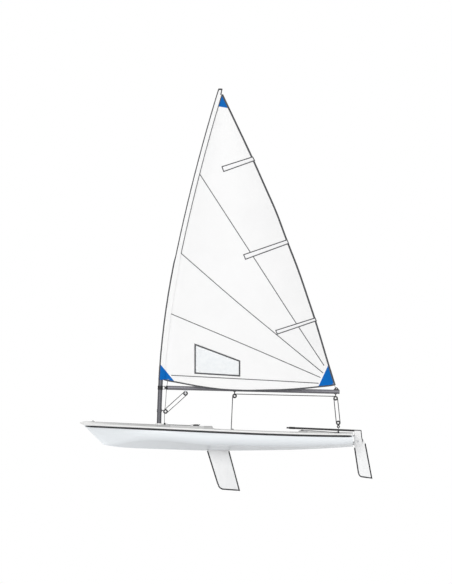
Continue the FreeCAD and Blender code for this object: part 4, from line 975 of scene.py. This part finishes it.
def deck_top(x, y):
    h = ray("deck", (x * MM, y * MM, 1.0), (0, 0, -1))
    return h.z / MM if h else 220.0


for s, nm in ((-1, "port"), (1, "starboard")):
    zb = deck_top(-804.0, s * 60.0) + 18
    y = s * 46.0
    top = (-806.0, s * 15.0, 486.0)
    pts = catmull([top, (-806, s * 24, 440), (-806, s * 38, 392), (-806, y, zb + 16)], 12)
    rope("control_tail_%s" % nm, mm(pts), 4.0, None, M_ROPE2, ((0, 0, (zb + 18) * MM), (0, 0, 0.478)))
    run = [(-788, y + s * 1, zb - 4)]
    for t in (0.12, 0.3, 0.5, 0.7, 0.88):
        x, yy = -788 + (-372 + 788) * t, y + (s * 112 - y) * t
        run.append((x, yy, deck_top(x, yy) + 5))
    run.append((-366, s * 112, deck_top(-320, s * 112) + 17))
    run.append((-270, s * 112, deck_top(-320, s * 112) + 17))
    rope("control_line_%s" % nm, mm(catmull(run, 16)), 3.6, "hull", M_ROPE2)
    k = knot("control_knot_%s" % nm, (-0.262, s * 0.112, (deck_top(-320, s * 112) + 17) * MM), (1, 0, 0), 0.0032, M_ROPE2)
    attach(k, "hull")

# mainsheet: end block to the lower block and back, forward under the boom, down to the ratchet block
EB, MB, TB, RB = (1833.0, 720.0), (276.0, 756.0), (1874.0, 341.0), (244.0, 227.0)
G = 30.0
fall = [Vector((1808, 0, 704))]
fall += [Vector((1843, 0, 352))] + arc(TB[0], TB[1], G, 180 + 6, 360 - 6, 0.0, 16)
fall += arc(EB[0], EB[1], G, 4, 90, 0.0)
fall += arc(MB[0], MB[1], G, 90, 180, 0.0)
fall += arc(RB[0], RB[1], 21.5, 180, 300, 0.0)
rope("mainsheet", mm(straight(fall, 15)), 6.5, None, M_ROPE, ((0, 0, 0.372), (0, 0, 0.690)))
k = knot("mainsheet_knot", (0.262, 0, 0.2075), (1, 0, -0.3), 0.0042, M_ROPE)
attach(k, "hull")
k = knot("mainsheet_becket_knot", (1.806, 0, 0.708), (0, 0, 1), 0.0042, M_ROPE)
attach(k, "rig")

# traveller: from its cleat to one eye, over through the lower block, to the other eye and back
ZE = 0.21298 / MM
tr = []
zc = deck_top(1352, 0)
for s in (-1, 1):
    leg = []
    for t in (0.0, 0.08, 0.2, 0.35, 0.5, 0.65, 0.8, 0.92):
        x, y = 1350 + (1868 - 1350) * t, s * (2 + 466 * t)
        leg.append((x, y, deck_top(x, y) + 5.0))
    leg.append((1873, s * 480, ZE - 5))
    tr.append(leg)
path = tr[0] + [(1876, -486, ZE), (1876, -462, ZE + 2), (1876, -250, ZE + (260 - ZE) * 0.46 + 3), (1876, -24, 262), (1876, 0, 264.5),
                (1876, 24, 262), (1876, 250, ZE + (260 - ZE) * 0.46 + 3), (1876, 462, ZE + 2), (1876, 486, ZE)] + tr[1][::-1]
rope("traveller_line", mm(catmull(path, 14)), 4.4, "hull", M_ROPE2)

# outhaul: clew ring, through the fairlead, forward along the boom
cl = sail_pt(1800, 943, 3) / MM


def boom_zc(x):
    return 883.0 + (x + 757.0) * (819.0 - 883.0) / (1886.0 + 757.0)


out = [tuple(cl), (1822, -8, 905), (1844, 0, 872), (1836, 14, 868), (1800, 26, boom_zc(1800) + 26)]
out += [(x, 25.5, boom_zc(x) + 25.5) for x in (1500, 1000, 500, 0, -200)]
out += [(-235, 14, boom_zc(-235) + 38), (-268, 0, boom_zc(-268) + 47)]
rope("outhaul", mm(catmull(out, 18)), 3.4, "rig", M_ROPE2)

# ------------------------------------------------------------------ hubs in the blocks' cheeks
HUBS = [("hub_vang_upper", (-481, 0, 796), 37, 13, "rig"), ("hub_vang_lower", (-790, 0, 517), 37, 13, "rig"),
        ("hub_boom_middle", (276, 0, 756), 36, 13, "rig"), ("hub_boom_end", (1833, 0, 720), 36, 13, "rig"),
        ("hub_traveller_upper", (1874, 0, 341), 36, 13, "hull"), ("hub_traveller_lower", (1876, 0, 284), 24, 11, "hull"),
        ("hub_ratchet", (244, 0, 227), 25, 13, "hull")]
for nm, c, r, hw, body in HUBS:
    for s, sd in ((-1, "port"), (1, "starboard")):
        q = r * 0.40
        prof = [(0.0, 1.0), (q * 0.14, 1.0), (q * 0.18, 1.9), (q * 0.42, 1.9), (q * 0.5, 1.3), (q * 0.9, 1.1), (q, 0.5), (q, -0.5)]
        o = lathe("%s_%s" % (nm, sd), (c[0] * MM, s * hw * MM, c[2] * MM), (0, s, 0), [(a * MM, b * MM) for a, b in prof], M_HUB, 32)
        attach(o, body)
        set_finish(o, "black_plastic")

# ------------------------------------------------------------------ guard strips on the edges of the foils
def guard(name, node, line, inner, body, wide=20.0):
    """Strip folded over a foil's edge: line runs along the edge, inner points into the foil, both (x, z) mm."""
    P = [Vector(p) for p in straight(line, 14)]
    cols = [wide, wide * 0.55, 3.0]
    verts, faces, uvs, s = [], [], [], 0.0
    rows = 0
    for i, p in enumerate(P):
        t = (P[min(i + 1, len(P) - 1)] - P[max(i - 1, 0)]).normalized()
        n = Vector((-t.y, t.x))
        if n.dot(Vector(inner) - p) < 0:
            n = -n
        ring = []
        for sd in (-1, 1):
            side_pts = []
            for c in cols:
                q = p + n * c
                h = ray(node, (q.x * MM, sd * 0.3, q.y * MM), (0, -sd, 0))
                if h is None:
                    break
                side_pts.append(Vector((h.x, h.y + sd * 0.0006, h.z)))
            if len(side_pts) < len(cols):
                ring = None
                break
            ring += side_pts if sd < 0 else side_pts[::-1]
        if ring is None:
            continue
        thick = abs(ring[3].y - ring[2].y)
        nose = p - n * (0.6 if thick > 0.008 else 0.2)
        e = (ring[2].y + ring[3].y) / 2
        half = thick * (0.5 if thick > 0.012 else 0.25)
        ring = ring[:3] + [Vector((nose.x * MM, e + o_, nose.y * MM)) for o_ in (-half, 0.0, half)] + ring[3:]
        if rows:
            s += 0.014
        for j, v in enumerate(ring):
            verts.append(v)
            uvs.append((s, j / 8))
        rows += 1
    for i in range(rows - 1):
        for j in range(8):
            faces.append((i * 9 + j, i * 9 + j + 1, (i + 1) * 9 + j + 1, (i + 1) * 9 + j))
    o = obj(name, verts, faces, M_BEAD, uvs)
    so = o.modifiers.new("thickness", "SOLIDIFY")
    so.thickness, so.offset = 0.0007, -1.0
    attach(o, body)
    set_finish(o, "black_rubber")
    return o


def on(a, b, z):
    return (a[0] + (b[0] - a[0]) * (z - a[1]) / (b[1] - a[1]), z)


LE, TE = ((-258.0, 245.0), (14.0, -623.0)), ((106.0, 245.0), (338.0, -623.0))
guard("board_guard", "daggerboard", [on(*LE, -95), on(*LE, -596), (24, -642), (48, -670), (84, -689), on(*TE, -709.5), on(*TE, -95)],
      (150, -350), "daggerboard")
BLE, BTE = ((2116.0, -40.0), (2177.0, -443.0)), ((2296.0, 40.0), (2404.0, -526.0))
guard("blade_guard", "rudder_blade", [on(*BLE, -45), on(*BLE, -428), (2184, -461), (2200, -483), (2228, -497), (2402, -524), on(*BTE, 24)],
      (2260, -250), "rudder_blade")

# ------------------------------------------------------------------ dark bead under the gunwale
SX0, SZ0, SX1, SZ1, SX2, SZ2 = -2140.0, 309.0, 300.0, 196.0, 2140.0, 148.0


def sheer(x):
    dx, dz = SX1 - SX0, SZ1 - SZ0
    n = math.hypot(dx, dz)
    if x <= SX1:
        return SZ0 + (x - SX0) * dz / dx
    nx, nz = -dz / n, dx / n
    px, pz = SX2 - SX1, SZ2 - SZ1
    r = (px * px + pz * pz) / (2 * (px * nx + pz * nz))
    return SZ1 + r * nz - math.sqrt(r * r - (x - SX1 - r * nx) ** 2)


for s, nm in ((-1, "port"), (1, "starboard")):
    pts, radii = [], []
    for x in [-2026.0 + 20.0 * i for i in range(206)] + [2088.0]:
        z = sheer(x) - 14.0
        h = ray("hull_shell", (x * MM, s * 1.2, z * MM), (0, -s, 0))
        if h is not None and abs(h.y) > 0.012:
            # runs out thin over the first and the last few centimetres
            thin = max(0.0, 1.0 - (x + 2026.0) / 110.0, 1.0 - (2088.0 - x) / 60.0)
            pts.append(Vector((h.x, h.y + s * 0.0015, h.z)))
            radii.append(0.0138 * (1.0 - 0.78 * thin * thin))
    o = tube("gunwale_bead_%s" % nm, pts, radii, M_BEAD, 14)
    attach(o, "hull")
    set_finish(o, "black_rubber")

for o in bpy.data.objects:
    if o.type == "MESH" and "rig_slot" not in o and "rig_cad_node" not in o:
        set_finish(o, "webbing")

# ------------------------------------------------------------------ stage, light and camera
FLOOR_Z = -0.7165
fm = Mat("floor_pale")
fm.fin(fm.mix(fm.remap(fm.noise(0.6, 3, 0.5), 0.3, 0.7, 0, 1), (0.83, 0.83, 0.835), (0.85, 0.85, 0.85)), 0.9)
fl = obj("floor", [(-150, -150, FLOOR_Z), (150, -150, FLOOR_Z), (150, 150, FLOOR_Z), (-150, 150, FLOOR_Z)], [(0, 1, 2, 3)], fm.m, None, False)

scene = bpy.context.scene
w = bpy.data.worlds.new("studio")
scene.world = w
w.use_nodes = True
bg = w.node_tree.nodes["Background"]
# soft white studio with dark flags at both ends, so that round white and metal shapes get an edge
wt = w.node_tree
wc = wt.nodes.new("ShaderNodeTexCoord")
ws = wt.nodes.new("ShaderNodeSeparateXYZ")
wt.links.new(wc.outputs["Generated"], ws.inputs[0])
wa = wt.nodes.new("ShaderNodeMath"); wa.operation = "ABSOLUTE"
wt.links.new(ws.outputs[0], wa.inputs[0])
wr = wt.nodes.new("ShaderNodeMapRange"); wr.interpolation_type = "SMOOTHSTEP"
for k_, v_ in (("From Min", 0.45), ("From Max", 0.92), ("To Min", 1.02), ("To Max", 0.14)):
    wr.inputs[k_].default_value = v_
wt.links.new(wa.outputs[0], wr.inputs["Value"])
# and a grey one low behind the boat: shapes seen along their surface get a darker rim
wy = wt.nodes.new("ShaderNodeMapRange"); wy.interpolation_type = "SMOOTHSTEP"
for k_, v_ in (("From Min", 0.60), ("From Max", 0.97), ("To Min", 1.0), ("To Max", 0.22)):
    wy.inputs[k_].default_value = v_
wt.links.new(ws.outputs[1], wy.inputs["Value"])
wp = wt.nodes.new("ShaderNodeMath"); wp.operation = "MULTIPLY"
wt.links.new(wr.outputs["Result"], wp.inputs[0])
wt.links.new(wy.outputs["Result"], wp.inputs[1])
wl = wt.nodes.new("ShaderNodeLightPath")
wm = wt.nodes.new("ShaderNodeMix"); wm.data_type = "FLOAT"
wt.links.new(wl.outputs["Is Camera Ray"], wm.inputs[0])
# less from overhead, so that the deck keeps its shape
wz = wt.nodes.new("ShaderNodeMapRange"); wz.interpolation_type = "SMOOTHSTEP"
for k_, v_ in (("From Min", 0.15), ("From Max", 0.85), ("To Min", 1.0), ("To Max", 0.84)):
    wz.inputs[k_].default_value = v_
wt.links.new(ws.outputs[2], wz.inputs["Value"])
wq = wt.nodes.new("ShaderNodeMath"); wq.operation = "MULTIPLY"
wt.links.new(wp.outputs[0], wq.inputs[0])
wt.links.new(wz.outputs["Result"], wq.inputs[1])
wt.links.new(wq.outputs[0], wm.inputs[2])
wm.inputs[3].default_value = 1.0
bg.inputs["Color"].default_value = (1, 1, 1, 1)
wt.links.new(wm.outputs[0], bg.inputs["Strength"])
scene.view_settings.view_transform = "Standard"


def soft_light(name, towards, angle, power):
    """Broad even light from far away, so that the floor gets no bright pools."""
    l = bpy.data.lights.new(name, "SUN")
    l.angle = math.radians(angle)
    l.energy = power
    o = bpy.data.objects.new(name, l)
    scene.collection.objects.link(o)
    o.rotation_euler = Vector(towards).to_track_quat("-Z", "Y").to_euler()


soft_light("key", (0.20, 0.92, -0.28), 32.0, 0.98)
soft_light("fill", (-0.43, -0.78, -0.42), 45.0, 0.62)

cam = bpy.data.cameras.new("camera")
cam.type = "ORTHO"
cam.ortho_scale = 9.005
co = bpy.data.objects.new("camera", cam)
scene.collection.objects.link(co)
co.location = (0.143, -60.0, 2.359)
co.rotation_euler = (PI / 2, 0, 0)
cam.clip_start, cam.clip_end = 0.1, 400.0
scene.camera = co
